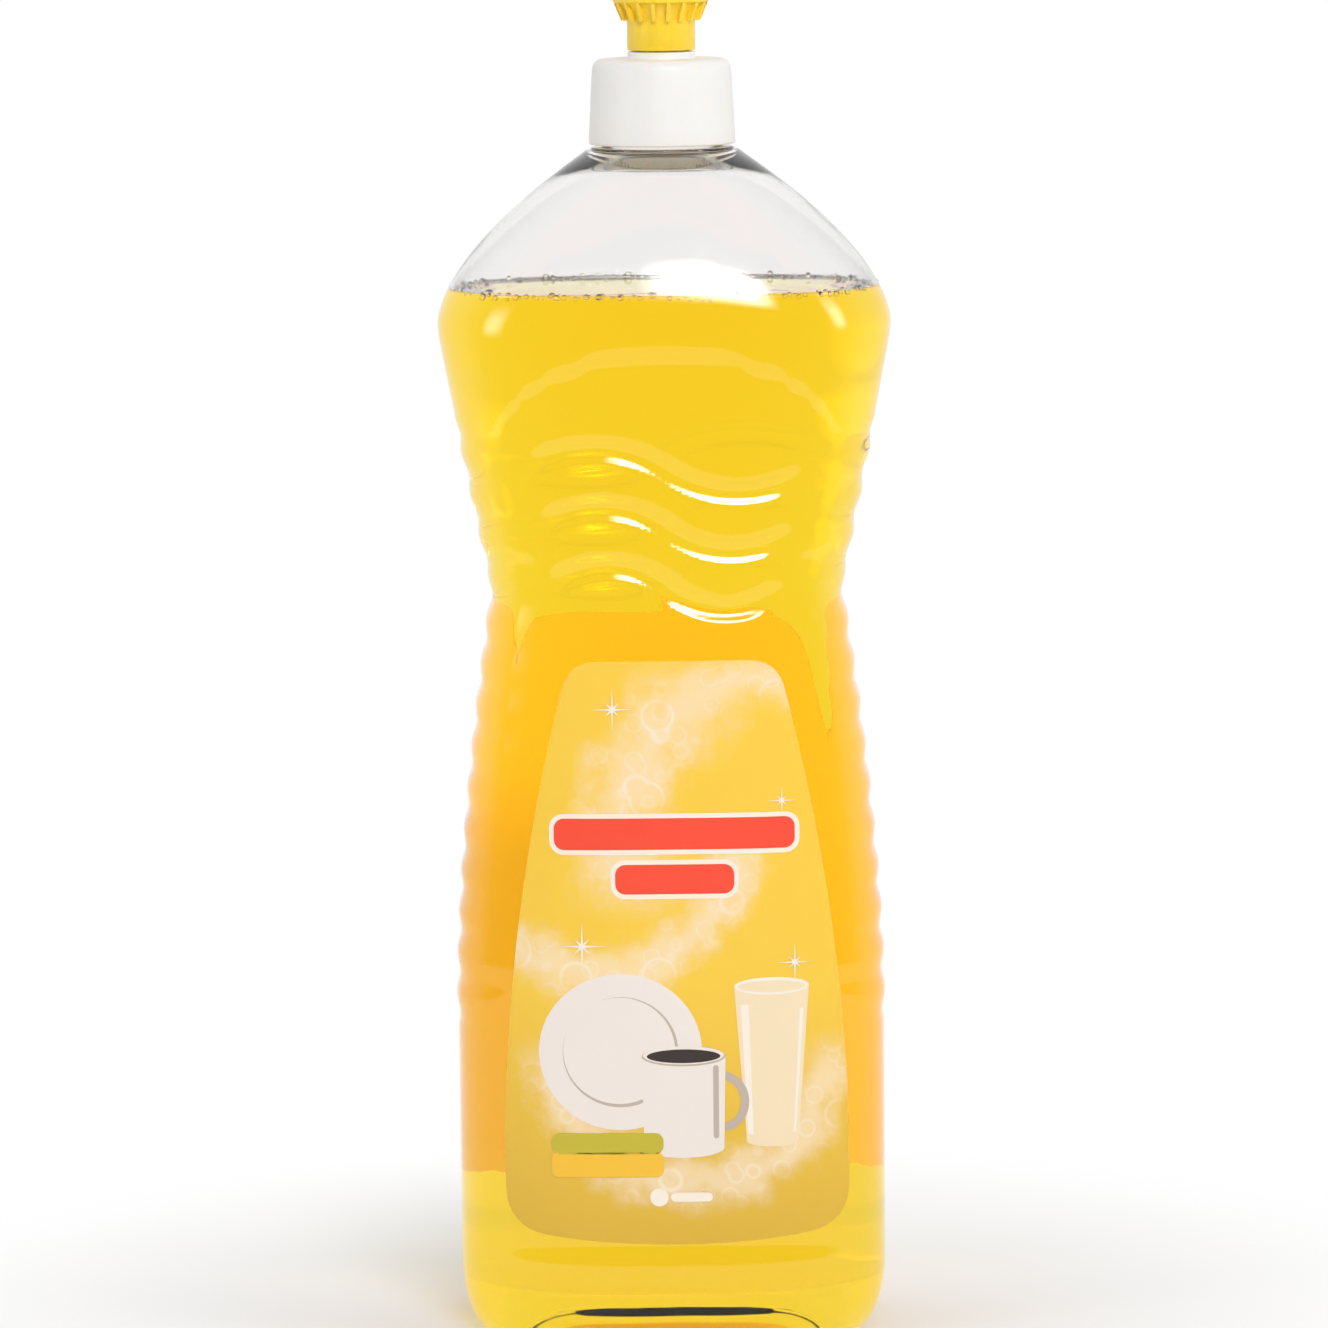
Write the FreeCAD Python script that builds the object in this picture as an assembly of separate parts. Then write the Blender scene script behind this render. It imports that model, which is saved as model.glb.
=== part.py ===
"""One-litre dish soap bottle with a push-pull nozzle.

A blown clear bottle with an oval section, a pinched waist, ribbed narrow sides and a
shallow arched panel front and back, each with three S-shaped grooves and a label.
The neck carries a moulded screw closure with a sealing liner, and a nozzle slides up
and down on the closure's chimney to open and shut the orifice over a fixed pin.

Millimetres, +Z up, origin at the centre of the standing ring, front towards -Y.
"""

import FreeCAD, Part
import math
import os

Vector = FreeCAD.Vector

# Bottle body
body_height = 256.8
base_width = 92.8
base_depth = 61.4
straight_height = 74.0
waist_height = 163.0
waist_width = 75.6
waist_depth = 57.6
shoulder_height = 219.5
shoulder_width = 98.3
shoulder_depth = 64.0
collar_radius = 16.4
body_squareness = 3.3
shoulder_squareness = 2.8
wall = 0.8

# Base
heel_width = 7.0
heel_height = 15.0
ring_width = 5.0
base_dome_height = 5.0
base_trim = 0.5

# Ribs on the narrow sides
rib_count = 14
rib_pitch = 9.05
rib_depth = 0.8
first_rib_height = 74.4

# Arched panel on the front and the back
panel_depth = 0.8
panel_rim = 4.6
panel_bevel = 5.0
ledge_height = 17.8
ledge_bevel = 4.5
arch_spring_height = 194.0
arch_rise = 24.0

# S-shaped grooves in the panel, each an arc up and an arc down with lifted ends
wave_count = 3
top_wave_height = 190.0
wave_pitch = 12.6
top_wave_length = 55.0
wave_shortening = 5.0
wave_crest = 4.7
wave_end_lift = 2.0
wave_band = 5.4
wave_depth = 1.0
wave_ball_margin = 0.01

# Neck finish
neck_radius = 12.55
neck_bore_radius = 10.85
neck_height = 17.1
support_ring_radius = 15.4
support_ring_height = 0.9

# Contents
fill_height = 227.2
contents_gap = 0.05

# Labels
label_thickness = 0.15
label_gap = 0.03
label_bottom_height = 22.8
label_height = 126.5
label_top_half_width = 22.2
label_bottom_half_width = 36.8
label_side_bulge = 4.6
label_bottom_sag = 3.6
label_top_corner = 7.0
label_bottom_corner = 9.0
label_shift = 1.0
back_label_rise = 5.0

# Screw closure
closure_clearance = 0.3
closure_bottom_radius = 15.8
closure_top_radius = 14.9
closure_corner = 2.2
closure_deck = 1.4
closure_bore_gap = 1.4
liner_thickness = 1.0
liner_bore_radius = 8.0

# Chimney and pin, moulded with the closure
collar_step_radius = 7.25
collar_step_height = 1.5
chimney_radius = 5.9
chimney_wall = 1.1
chimney_bead = 0.2
bead_height = 0.9
pin_radius = 1.7
spoke_count = 3
spoke_width = 1.2
spoke_height = 4.0

# Push-pull nozzle
nozzle_seat_gap = 0.3
nozzle_radius = 7.3
nozzle_slide_gap = 0.3
nozzle_stem_height = 4.0
nozzle_flange_radius = 10.4
nozzle_flare_height = 6.3
nozzle_rim_height = 1.7
nozzle_crown = 0.5
nozzle_top_thickness = 1.9
orifice_gap = 0.1
nozzle_travel = 5.0
flute_count = 18
fin_width = 0.8
flute_depth = 1.0
flute_height = 2.6

# Levels worked out from the sizes above
support_ring_top = body_height + support_ring_height
lip_height = body_height + neck_height
liner_top = lip_height + liner_thickness
closure_base = support_ring_top + closure_clearance
closure_top = liner_top + closure_deck
chimney_base = closure_top + collar_step_height
chimney_top = chimney_base + nozzle_travel + 4 * bead_height
nozzle_base = chimney_base + nozzle_seat_gap
flare_base = nozzle_base + nozzle_stem_height
rim_base = flare_base + nozzle_flare_height
rim_top = rim_base + nozzle_rim_height
nozzle_top = rim_top + nozzle_crown

# How finely the blown form is drawn
columns = 32
body_row_step = 10.0
arch_row_step = 3.2
shoulder_row_step = 4.0
fine_row_step = 2.4
heel_rows = 5
dome_rows = 4
spline_degree = 3
# A cubic spline keeps this share of a wave whose poles alternate, crest and valley
rib_share_kept = 1.0 / 3.0


def mix(low, high, share):
    """The value a share of the way from low to high."""
    return low + (high - low) * share


def ease(share):
    """A smooth step from 0 to 1."""
    share = min(1.0, max(0.0, share))
    return share * share * (3 - 2 * share)


def outline(z, base, waist, shoulder, collar):
    """Half a width or half a depth of the body at height z, without ribs."""
    if z <= straight_height:
        return base
    if z <= waist_height:
        share = (z - straight_height) / (waist_height - straight_height)
        return mix(base, waist, share**1.6)
    if z <= shoulder_height:
        share = (z - waist_height) / (shoulder_height - waist_height)
        return mix(waist, shoulder, share**0.95)
    share = min(1.0, (z - shoulder_height) / (body_height - shoulder_height))
    return mix(shoulder, collar, share**1.65)


def half_width(z):
    return outline(z, base_width / 2, waist_width / 2, shoulder_width / 2, collar_radius)


def half_depth(z):
    return outline(z, base_depth / 2, waist_depth / 2, shoulder_depth / 2, collar_radius)


def squareness(z):
    """Exponent of the section: 2 is an ellipse, more is squarer."""
    if z <= waist_height:
        return body_squareness
    if z <= shoulder_height:
        share = (z - waist_height) / (shoulder_height - waist_height)
        return mix(body_squareness, shoulder_squareness, share)
    share = min(1.0, (z - shoulder_height) / (body_height - shoulder_height))
    return mix(shoulder_squareness, 2.0, share)


def rib(z):
    """How far the ribs swell the narrow sides at height z."""
    last_rib_height = first_rib_height + rib_pitch * (rib_count - 1)
    edge = rib_pitch * 0.6
    if not first_rib_height - edge < z < last_rib_height + edge:
        return 0.0
    turn = 2 * math.pi * (z - first_rib_height) / rib_pitch
    return rib_depth / 2 * math.cos(turn) / rib_share_kept


def panel_share(x, z):
    """1 inside the sunken arched panel, 0 outside it, and a soft bevel between."""
    side = half_width(min(z, arch_spring_height)) - panel_rim
    if z <= arch_spring_height:
        inward = side - abs(x)
    else:
        across = x / side
        up = (z - arch_spring_height) / arch_rise
        reach = math.hypot(across, up)
        slope = math.hypot(across / side, up / arch_rise) / reach
        inward = (1 - reach) / slope
    return ease(inward / panel_bevel) * ease((z - ledge_height) / ledge_bevel)


def section(z, level, inset, swell=0):
    """One closed row of poles at height level, for the body's section at height z."""
    a = half_width(z) - inset
    b = half_depth(z) - inset
    power = squareness(z)
    row = []
    for i in range(columns):
        turn = 2 * math.pi * i / columns
        c, s = math.cos(turn), math.sin(turn)
        reach = (abs(c) ** power + abs(s) ** power) ** (-1 / power)
        x = a * c * reach
        y = b * s * reach
        y -= panel_depth * panel_share(x, z) * s
        x += swell * abs(c) ** 5 * c
        row.append(Vector(x, y, level))
    return row


def spread(low, high, step):
    """Evenly spaced heights above low, up to high, at most a step apart."""
    count = max(1, math.ceil((high - low) / step))
    return [mix(low, high, (i + 1) / count) for i in range(count)]


def body_heights():
    """Heights of the rows from the heel to the collar, closer where the form is finer."""
    ledge_top = ledge_height + ledge_bevel
    half_pitch = rib_pitch / 2
    ribs = [first_rib_height + (i - 1) * half_pitch for i in range(2 * rib_count + 1)]
    heights = spread(heel_height, ledge_top, fine_row_step)
    heights += spread(ledge_top, ribs[0], body_row_step)[:-1] + ribs
    heights += spread(ribs[-1], shoulder_height, arch_row_step)
    return heights + spread(shoulder_height, body_height, shoulder_row_step)[:-1]


def body_form(inset, ribbed=False):
    """The closed blown form, set in by inset from the outside."""
    rows = []
    dome_inset = base_depth / 2 - ring_width
    ring_inset = heel_width + ring_width
    for i in range(dome_rows):
        share = i / dome_rows
        level = mix(base_dome_height, 0, share**2) + inset - base_trim
        rows.append(section(0, level, mix(dome_inset, ring_inset, share)))
    for share in (0, 0.5):
        rows.append(section(0, inset - base_trim, mix(ring_inset, heel_width, share)))
    for i in range(heel_rows):
        turn = math.pi / 2 * i / heel_rows
        side = heel_width * (1 - math.sin(turn)) + inset * math.sin(turn)
        level = (heel_height + base_trim) * (1 - math.cos(turn)) - base_trim
        rows.append(section(0, level + inset * math.cos(turn), side))
    for z in body_heights():
        rows.append(section(z, z, inset, rib(z) if ribbed else 0))
    rows.append(section(body_height, body_height - inset, inset))

    rounds = len(rows) - spline_degree
    surface = Part.BSplineSurface()
    surface.buildFromPolesMultsKnots(
        rows,
        [spline_degree + 1] + [1] * (rounds - 1) + [spline_degree + 1],
        [1] * (columns + 1),
        list(range(rounds + 1)),
        list(range(columns + 1)),
        False,
        True,
        spline_degree,
        spline_degree,
    )
    side = surface.toShape()
    bottom = Part.Face(Part.Wire(surface.uIso(0).toShape()))
    top = Part.Face(Part.Wire(surface.uIso(rounds).toShape()))
    shell = Part.makeShell([side, bottom, top])
    shell.sewShape()
    form = Part.makeSolid(shell)
    if form.Volume < 0:
        form.reverse()
    return form


def slab(low, high):
    """A block wider than the bottle, between two heights."""
    reach = shoulder_width + base_width
    return Part.makeBox(
        reach, reach, high - low, Vector(-reach / 2, -reach / 2, low)
    )


def turned(points):
    """A solid of revolution about Z from (radius, height) corners."""
    corners = [Vector(r, 0, z) for r, z in points]
    face = Part.Face(Part.makePolygon(corners + corners[:1]))
    return face.revolve(Vector(0, 0, 0), Vector(0, 0, 1), 360)


def tube(outer, inner, low, high):
    return Part.makeCylinder(outer, high - low, Vector(0, 0, low)).cut(
        Part.makeCylinder(inner, high - low, Vector(0, 0, low))
    )


def panel_face_depth(x, z):
    """Distance of the panel's face from the mid plane at x and z."""
    a, b, power = half_width(z), half_depth(z), squareness(z)
    return b * (1 - abs(x / a) ** power) ** (1 / power) - panel_depth


def wave(height, length, inset):
    """The round tool of one S-shaped groove in the front panel, set in by inset."""
    groove_radius = (wave_band**2 / 4 + wave_depth**2) / (2 * wave_depth)
    tool_radius = groove_radius + inset
    ball_radius = tool_radius + wave_ball_margin

    def place(x, rise):
        depth = panel_face_depth(x, height) + groove_radius - wave_depth
        return Vector(x, -depth, height + rise)

    left_end = place(-length / 2, wave_end_lift)
    left_crest = place(-length / 4, wave_crest)
    middle = place(0, 0)
    right_crest = place(length / 4, -wave_crest)
    right_end = place(length / 2, -wave_end_lift)
    pieces = [Part.makeSphere(ball_radius, knot) for knot in (middle, right_end)]
    for first, crest, last in (
        (left_end, left_crest, middle),
        (middle, right_crest, right_end),
    ):
        arc = Part.Arc(first, crest, last).toShape()
        start = arc.FirstParameter
        rim = Part.makeCircle(tool_radius, first, arc.tangentAt(start))
        circle = arc.Curve
        sweep = math.degrees(arc.LastParameter - start)
        disc = Part.Face(Part.Wire(rim))
        pieces.append(disc.revolve(circle.Center, circle.Axis, sweep))
    return Part.makeSphere(ball_radius, left_end).fuse(pieces)


def waves(inset):
    """Every groove's tools, front and back."""
    tools = []
    for i in range(wave_count):
        height = top_wave_height - i * wave_pitch
        length = top_wave_length - i * wave_shortening
        tools.extend(front_and_back(wave(height, length, inset)))
    return tools


def front_and_back(shape):
    """A front piece and its copy turned to the back."""
    behind = shape.copy()
    behind.rotate(Vector(0, 0, 0), Vector(0, 0, 1), 180)
    return [shape, behind]


def make_bottle():
    outside = body_form(0, ribbed=True).cut([slab(-heel_height, 0)] + waves(0))
    neck = turned(
        [
            (0, body_height - wall),
            (support_ring_radius, body_height - wall),
            (support_ring_radius, support_ring_top),
            (neck_radius, support_ring_top),
            (neck_radius, lip_height),
            (0, lip_height),
        ]
    )
    bore = Part.makeCylinder(
        neck_bore_radius,
        lip_height - body_height + 2 * wall,
        Vector(0, 0, body_height - 2 * wall),
    )
    hollow = body_form(wall).cut(waves(wall))
    return outside.fuse(neck).cut([hollow, bore])


def make_contents():
    inside = body_form(wall + contents_gap)
    above = slab(fill_height, body_height + neck_height)
    return inside.cut([above] + waves(wall + contents_gap))


def label_outline():
    """The label's shape as a block that reaches through the front of the bottle."""
    top = label_bottom_height + label_height
    low = label_bottom_height + label_bottom_sag
    middle = (top + low) / 2
    reach = (label_top_half_width + label_bottom_half_width) / 2 + label_side_bulge

    def corner(x, z):
        return Vector(x, 0, z)

    edges = [
        Part.LineSegment(
            corner(-label_top_half_width, top), corner(label_top_half_width, top)
        ),
        Part.Arc(
            corner(label_top_half_width, top),
            corner(reach, middle),
            corner(label_bottom_half_width, low),
        ),
        Part.Arc(
            corner(label_bottom_half_width, low),
            corner(0, label_bottom_height),
            corner(-label_bottom_half_width, low),
        ),
        Part.Arc(
            corner(-label_bottom_half_width, low),
            corner(-reach, middle),
            corner(-label_top_half_width, top),
        ),
    ]
    face = Part.Face(Part.Wire([edge.toShape() for edge in edges]))
    block = face.extrude(Vector(0, -shoulder_depth, 0))
    for x, z, radius in (
        (label_top_half_width, top, label_top_corner),
        (label_bottom_half_width, low, label_bottom_corner),
    ):
        sharp = [
            edge
            for edge in block.Edges
            if abs(abs(edge.CenterOfMass.x) - x) < 0.01
            and abs(edge.CenterOfMass.z - z) < 0.01
        ]
        block = block.makeFillet(radius, sharp)
    return block


def make_labels():
    block = label_outline()
    outer = body_form(-label_gap - label_thickness, ribbed=True)
    skin = outer.cut(body_form(-label_gap, ribbed=True))
    front = block.copy()
    front.translate(Vector(label_shift, 0, 0))
    back = front_and_back(block)[1]
    back.translate(Vector(0, 0, back_label_rise))
    return skin.common(front), skin.common(back)


def make_liner():
    outer = neck_radius + closure_bore_gap / 2
    return tube(outer, liner_bore_radius, lip_height, liner_top)


def make_closure():
    bore = neck_radius + closure_bore_gap
    chimney_bore = chimney_radius - chimney_wall
    deck_low = liner_top
    shell = turned(
        [
            (bore, closure_base),
            (closure_bottom_radius, closure_base),
            (closure_top_radius, closure_top),
            (collar_step_radius, closure_top),
            (collar_step_radius, chimney_base),
            (chimney_radius, chimney_base),
            (chimney_radius, chimney_top - 2 * bead_height),
            (chimney_radius + chimney_bead, chimney_top - 1.5 * bead_height),
            (chimney_radius + chimney_bead, chimney_top - bead_height),
            (chimney_radius - chimney_bead, chimney_top),
            (chimney_bore, chimney_top),
            (chimney_bore, deck_low),
            (bore, deck_low),
        ]
    )
    shoulder = [
        edge
        for edge in shell.Edges
        if abs(edge.BoundBox.ZMin - closure_top) < 0.01
        and abs(edge.BoundBox.XMax - closure_top_radius) < 0.01
        and edge.BoundBox.ZLength < 0.01
    ]
    shell = shell.makeFillet(closure_corner, shoulder)
    pin = Part.makeCylinder(
        pin_radius, nozzle_top - deck_low, Vector(0, 0, deck_low)
    )
    spokes = []
    for i in range(spoke_count):
        spoke = Part.makeBox(
            chimney_bore + chimney_wall / 2,
            spoke_width,
            spoke_height,
            Vector(0, -spoke_width / 2, deck_low),
        )
        spoke.rotate(Vector(0, 0, 0), Vector(0, 0, 1), 360 / spoke_count * i)
        spokes.append(spoke)
    return shell.fuse([pin] + spokes)


def nozzle_profile():
    """The nozzle's outside as a face: straight stem, concave flare, rim and low crown."""
    stem_top = Vector(nozzle_radius, 0, flare_base)
    rim_low = Vector(nozzle_flange_radius, 0, rim_base)
    bend = Vector(
        mix(nozzle_radius, nozzle_flange_radius, 0.22),
        0,
        mix(flare_base, rim_base, 0.6),
    )
    edges = [
        Part.LineSegment(Vector(0, 0, nozzle_base), Vector(nozzle_radius, 0, nozzle_base)),
        Part.LineSegment(Vector(nozzle_radius, 0, nozzle_base), stem_top),
        Part.Arc(stem_top, bend, rim_low),
        Part.LineSegment(rim_low, Vector(nozzle_flange_radius, 0, rim_top)),
        Part.Arc(
            Vector(nozzle_flange_radius, 0, rim_top),
            Vector(nozzle_flange_radius / 2, 0, mix(rim_top, nozzle_top, 0.75)),
            Vector(0, 0, nozzle_top),
        ),
        Part.LineSegment(Vector(0, 0, nozzle_top), Vector(0, 0, nozzle_base)),
    ]
    return Part.Face(Part.Wire([edge.toShape() for edge in edges]))


def make_nozzle():
    outside = nozzle_profile().revolve(Vector(0, 0, 0), Vector(0, 0, 1), 360)
    flute_low = rim_base - flute_height
    flute = turned(
        [
            (nozzle_radius - flute_depth / 2, flute_low),
            (nozzle_flange_radius - flute_depth, rim_base - flute_depth / 4),
            (nozzle_flange_radius - flute_depth, rim_base - flute_height),
        ]
    )
    fins = []
    for i in range(flute_count):
        fin = Part.makeBox(
            nozzle_flange_radius,
            fin_width,
            2 * nozzle_flare_height,
            Vector(0, -fin_width / 2, flare_base),
        )
        fin.rotate(Vector(0, 0, 0), Vector(0, 0, 1), 360 / flute_count * i)
        fins.append(fin)
    outside = outside.cut(flute.cut(fins))
    bore = chimney_radius + nozzle_slide_gap
    ceiling = nozzle_top - nozzle_top_thickness
    lock_low = nozzle_base + bead_height / 2
    inside = turned(
        [
            (0, nozzle_base),
            (bore, nozzle_base),
            (bore, lock_low),
            (bore - chimney_bead, lock_low + bead_height / 2),
            (bore - chimney_bead, lock_low + bead_height),
            (bore, lock_low + 1.5 * bead_height),
            (bore, ceiling),
            (0, ceiling),
        ]
    )
    orifice = Part.makeCylinder(
        pin_radius + orifice_gap, nozzle_top_thickness * 2, Vector(0, 0, ceiling - 0.1)
    )
    return outside.cut([inside, orifice])


def main():
    os.makedirs("parts", exist_ok=True)
    front_label, back_label = make_labels()
    nodes = {
        "bottle": make_bottle(),
        "liquid": make_contents(),
        "front_label": front_label,
        "back_label": back_label,
        "sealing_liner": make_liner(),
        "screw_closure": make_closure(),
        "push_pull_nozzle": make_nozzle(),
    }
    for name, shape in nodes.items():
        shape.exportStep(f"parts/{name}.step")
        volume = round(shape.Volume / 1000, 2)
        print(name, "solids", len(shape.Solids), "valid", shape.isValid(), "ml", volume)


main()
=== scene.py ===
# %% [markdown]
# # A litre bottle of dish soap
# A clear blown bottle, ribbed at its narrow sides and pinched at the waist, full of yellow
# soap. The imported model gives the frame: every piece below is made in metres in that frame,
# rides on one of its bodies, and stands for the plain solid of the same name.

# %% Load the frame
import math

import bmesh
import bpy
import numpy as np
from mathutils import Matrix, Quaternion, Vector
from mathutils.bvhtree import BVHTree


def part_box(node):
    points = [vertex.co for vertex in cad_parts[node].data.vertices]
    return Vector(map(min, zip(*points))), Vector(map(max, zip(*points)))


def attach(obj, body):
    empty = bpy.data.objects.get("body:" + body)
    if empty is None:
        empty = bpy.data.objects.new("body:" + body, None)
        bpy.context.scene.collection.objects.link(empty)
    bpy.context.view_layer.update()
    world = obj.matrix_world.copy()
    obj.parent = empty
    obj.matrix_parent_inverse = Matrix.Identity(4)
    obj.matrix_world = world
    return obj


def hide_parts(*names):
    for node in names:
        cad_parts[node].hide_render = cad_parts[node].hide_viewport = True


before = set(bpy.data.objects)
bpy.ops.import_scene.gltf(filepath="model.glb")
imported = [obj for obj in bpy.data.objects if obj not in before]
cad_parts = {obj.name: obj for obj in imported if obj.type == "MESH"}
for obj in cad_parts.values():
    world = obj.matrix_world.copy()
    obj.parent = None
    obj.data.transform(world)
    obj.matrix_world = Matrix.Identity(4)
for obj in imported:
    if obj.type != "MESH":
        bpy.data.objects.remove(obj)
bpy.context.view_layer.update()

# %% [markdown]
# ## The camera
# The photo was taken from a metre and a half away with a long lens, so the bottle shows
# hardly any perspective. The camera looks slightly down at the bottle and is rolled by half
# a degree, which is why the bottle leans a little to the left in the picture.

# %% Camera
camera_place = Vector((-0.0008, -1.4849, 0.3379))
camera_target = Vector((-0.0008, 0.0, 0.145))
camera_lens = 186.7
camera_roll = math.radians(-0.61)

camera_data = bpy.data.cameras.new("photo_camera")
camera_data.lens = camera_lens
camera_data.sensor_width = 36.0
camera = bpy.data.objects.new("photo_camera", camera_data)
camera.location = camera_place
camera.rotation_mode = "QUATERNION"
aim = (camera_target - camera_place).to_track_quat("-Z", "Y")
camera.rotation_quaternion = aim @ Quaternion((0, 0, 1), camera_roll)
bpy.context.scene.collection.objects.link(camera)
bpy.context.scene.camera = camera
bpy.context.scene.view_settings.view_transform = "Standard"

# %% [markdown]
# ## Helpers for meshes
# Nearly every piece here is a net of rings: the same number of points in each ring, one
# ring after another from the bottom to the top. One helper joins such rings into faces, so
# each piece only has to say where its rings run.

# %% Rings, patches and lathes
def new_object(name, mesh, body, material):
    """Links a mesh that is already in place, and lets it ride on a body."""
    piece = bpy.data.objects.new(name, mesh)
    bpy.context.scene.collection.objects.link(piece)
    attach(piece, body)
    for one in material if isinstance(material, list) else [material]:
        mesh.materials.append(one)
    return piece


def ring_faces(rings, columns, closed_ends=True):
    """Quads between neighbouring rings that turn anticlockwise seen from above."""
    low = (np.arange(rings - 1)[:, None] * columns + np.arange(columns)[None, :]).ravel()
    step = np.where((low + 1) % columns == 0, 1 - columns, 1)
    quads = np.stack([low, low + step, low + step + columns, low + columns], axis=1)
    faces = [tuple(int(i) for i in quad) for quad in quads]
    if closed_ends:
        faces.append(tuple(range(columns))[::-1])
        faces.append(tuple(range((rings - 1) * columns, rings * columns)))
    return faces


def smooth_mesh(name, points, faces):
    mesh = bpy.data.meshes.new(name)
    mesh.from_pydata([tuple(map(float, p)) for p in points], [], faces)
    mesh.shade_smooth()
    mesh.update()
    return mesh


def lathe(name, profile, columns=128, closed_ends=True):
    """A turned mesh from (radius, height) pairs that run up the outside and down the inside."""
    turns = 2 * np.pi * np.arange(columns) / columns
    rings = [
        np.stack([r * np.cos(turns), r * np.sin(turns), np.full(columns, z)], axis=1)
        for r, z in profile
    ]
    return smooth_mesh(name, np.concatenate(rings), ring_faces(len(rings), columns, closed_ends))


def arc(centre_r, centre_z, radius, start, end, steps=8):
    """Points of a round corner of a profile, with angles in degrees from outward to up."""
    angles = np.radians(np.linspace(start, end, steps))
    return [(centre_r + radius * math.cos(a), centre_z + radius * math.sin(a)) for a in angles]


# %% [markdown]
# ## The blown form
# A blown bottle has no flat faces and no true arcs, so its shape is given by a rule. Half
# the width and half the depth follow one outline rule each along the height, and every
# section is a superellipse: an ellipse whose exponent squares it off. Rows of control
# points along the height are then blended by a cubic spline, which rounds the waist and
# the shoulder as stretched plastic does.

# %% Sizes of the body
body_height = 0.2568
base_width = 0.0928
base_depth = 0.0614
straight_height = 0.074
waist_height = 0.163
waist_width = 0.0756
waist_depth = 0.0576
shoulder_height = 0.2195
shoulder_width = 0.0983
shoulder_depth = 0.0640
collar_radius = 0.0164
body_squareness = 3.3
shoulder_squareness = 2.8
wall = 0.0008
heel_width = 0.007
heel_height = 0.015
ring_width = 0.005
base_dome_height = 0.005
base_trim = 0.0005
panel_depth = 0.0008
panel_rim = 0.0046
panel_bevel = 0.0050
ledge_height = 0.0178
ledge_bevel = 0.0045
arch_spring_height = 0.194
arch_rise = 0.024
rib_count = 14
rib_pitch = 0.00905
rib_depth = 0.0008
first_rib_height = 0.0744
wave_count = 3
top_wave_height = 0.190
wave_pitch = 0.0126
top_wave_length = 0.055
wave_shortening = 0.005
wave_crest = 0.0047
wave_end_lift = 0.0020
wave_band = 0.0054
wave_depth = 0.0010
columns = 208


# %% The rule for one section
def mix(low, high, share):
    return low + (high - low) * share


def ease(share):
    share = np.clip(share, 0.0, 1.0)
    return share * share * (3 - 2 * share)


def outline(z, base, waist, shoulder, collar):
    """Half a width or half a depth at height z."""
    low = (z - straight_height) / (waist_height - straight_height)
    middle = (z - waist_height) / (shoulder_height - waist_height)
    high = (z - shoulder_height) / (body_height - shoulder_height)
    if z <= straight_height:
        return base
    if z <= waist_height:
        return mix(base, waist, low**1.6)
    if z <= shoulder_height:
        return mix(waist, shoulder, middle**0.95)
    return mix(shoulder, collar, min(1.0, high) ** 1.65)


def half_width(z):
    return outline(z, base_width / 2, waist_width / 2, shoulder_width / 2, collar_radius)


def half_depth(z):
    return outline(z, base_depth / 2, waist_depth / 2, shoulder_depth / 2, collar_radius)


def squareness(z):
    if z <= waist_height:
        return body_squareness
    if z <= shoulder_height:
        share = (z - waist_height) / (shoulder_height - waist_height)
        return mix(body_squareness, shoulder_squareness, share)
    share = min(1.0, (z - shoulder_height) / (body_height - shoulder_height))
    return mix(shoulder_squareness, 2.0, share)


def panel_share(x, z):
    """1 inside the sunken arched panel, 0 outside it, and a soft bevel between."""
    side = half_width(min(z, arch_spring_height)) - panel_rim
    if z <= arch_spring_height:
        inward = side - np.abs(x)
    else:
        across = x / side
        up = (z - arch_spring_height) / arch_rise
        reach = np.hypot(across, up)
        inward = (1 - reach) * reach / np.hypot(across / side, up / arch_rise)
    return ease(inward / panel_bevel) * ease((z - ledge_height) / ledge_bevel)


def section(z, level, inset):
    """One ring of the body at height level, drawn with the section of height z."""
    turns = 2 * np.pi * np.arange(columns) / columns
    c, s = np.cos(turns), np.sin(turns)
    power = squareness(z)
    reach = (np.abs(c) ** power + np.abs(s) ** power) ** (-1 / power)
    x = (half_width(z) - inset) * c * reach
    y = (half_depth(z) - inset) * s * reach
    y -= panel_depth * panel_share(x, z) * s
    return np.stack([x, y, np.full(columns, level)], axis=1)
# %% [markdown]
# ## From control rows to a fine net
# The rows above are only control rows. A cubic spline through the ends blends them: every
# fine ring is a weighted mean of the four nearest rows. The same weights serve the outside,
# the inside of the wall and the soap, so the three skins stay parallel.

# %% Control rows and the spline
wall_row_step = 0.0036
wave_row_step = 0.0021
wave_zone = (0.150, 0.202)
base_rows = 10
ring_samples = 3


def body_rows(inset):
    """Control rows from the middle of the base up to the collar, set in by inset."""
    rows = []
    dome_inset = base_depth / 2 - ring_width
    ring_inset = heel_width + ring_width
    for share in np.linspace(0, 0.8, 5):
        level = mix(base_dome_height, 0, share**2) + inset - base_trim
        rows.append(section(0, level, mix(dome_inset, ring_inset, share)))
    for share in (0.0, 0.33, 0.66):
        rows.append(section(0, inset - base_trim, mix(ring_inset, heel_width, share)))
    for turn in np.linspace(0, math.pi / 2, base_rows)[:-1]:
        side = heel_width * (1 - math.sin(turn)) + inset * math.sin(turn)
        level = (heel_height + base_trim) * (1 - math.cos(turn)) - base_trim
        rows.append(section(0, level + inset * math.cos(turn), side))
    z = heel_height
    while z < body_height - wall_row_step / 2:
        rows.append(section(z, z, inset))
        z += wave_row_step if wave_zone[0] < z < wave_zone[1] else wall_row_step
    rows.append(section(body_height, body_height - inset, inset))
    return np.array(rows)


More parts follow.
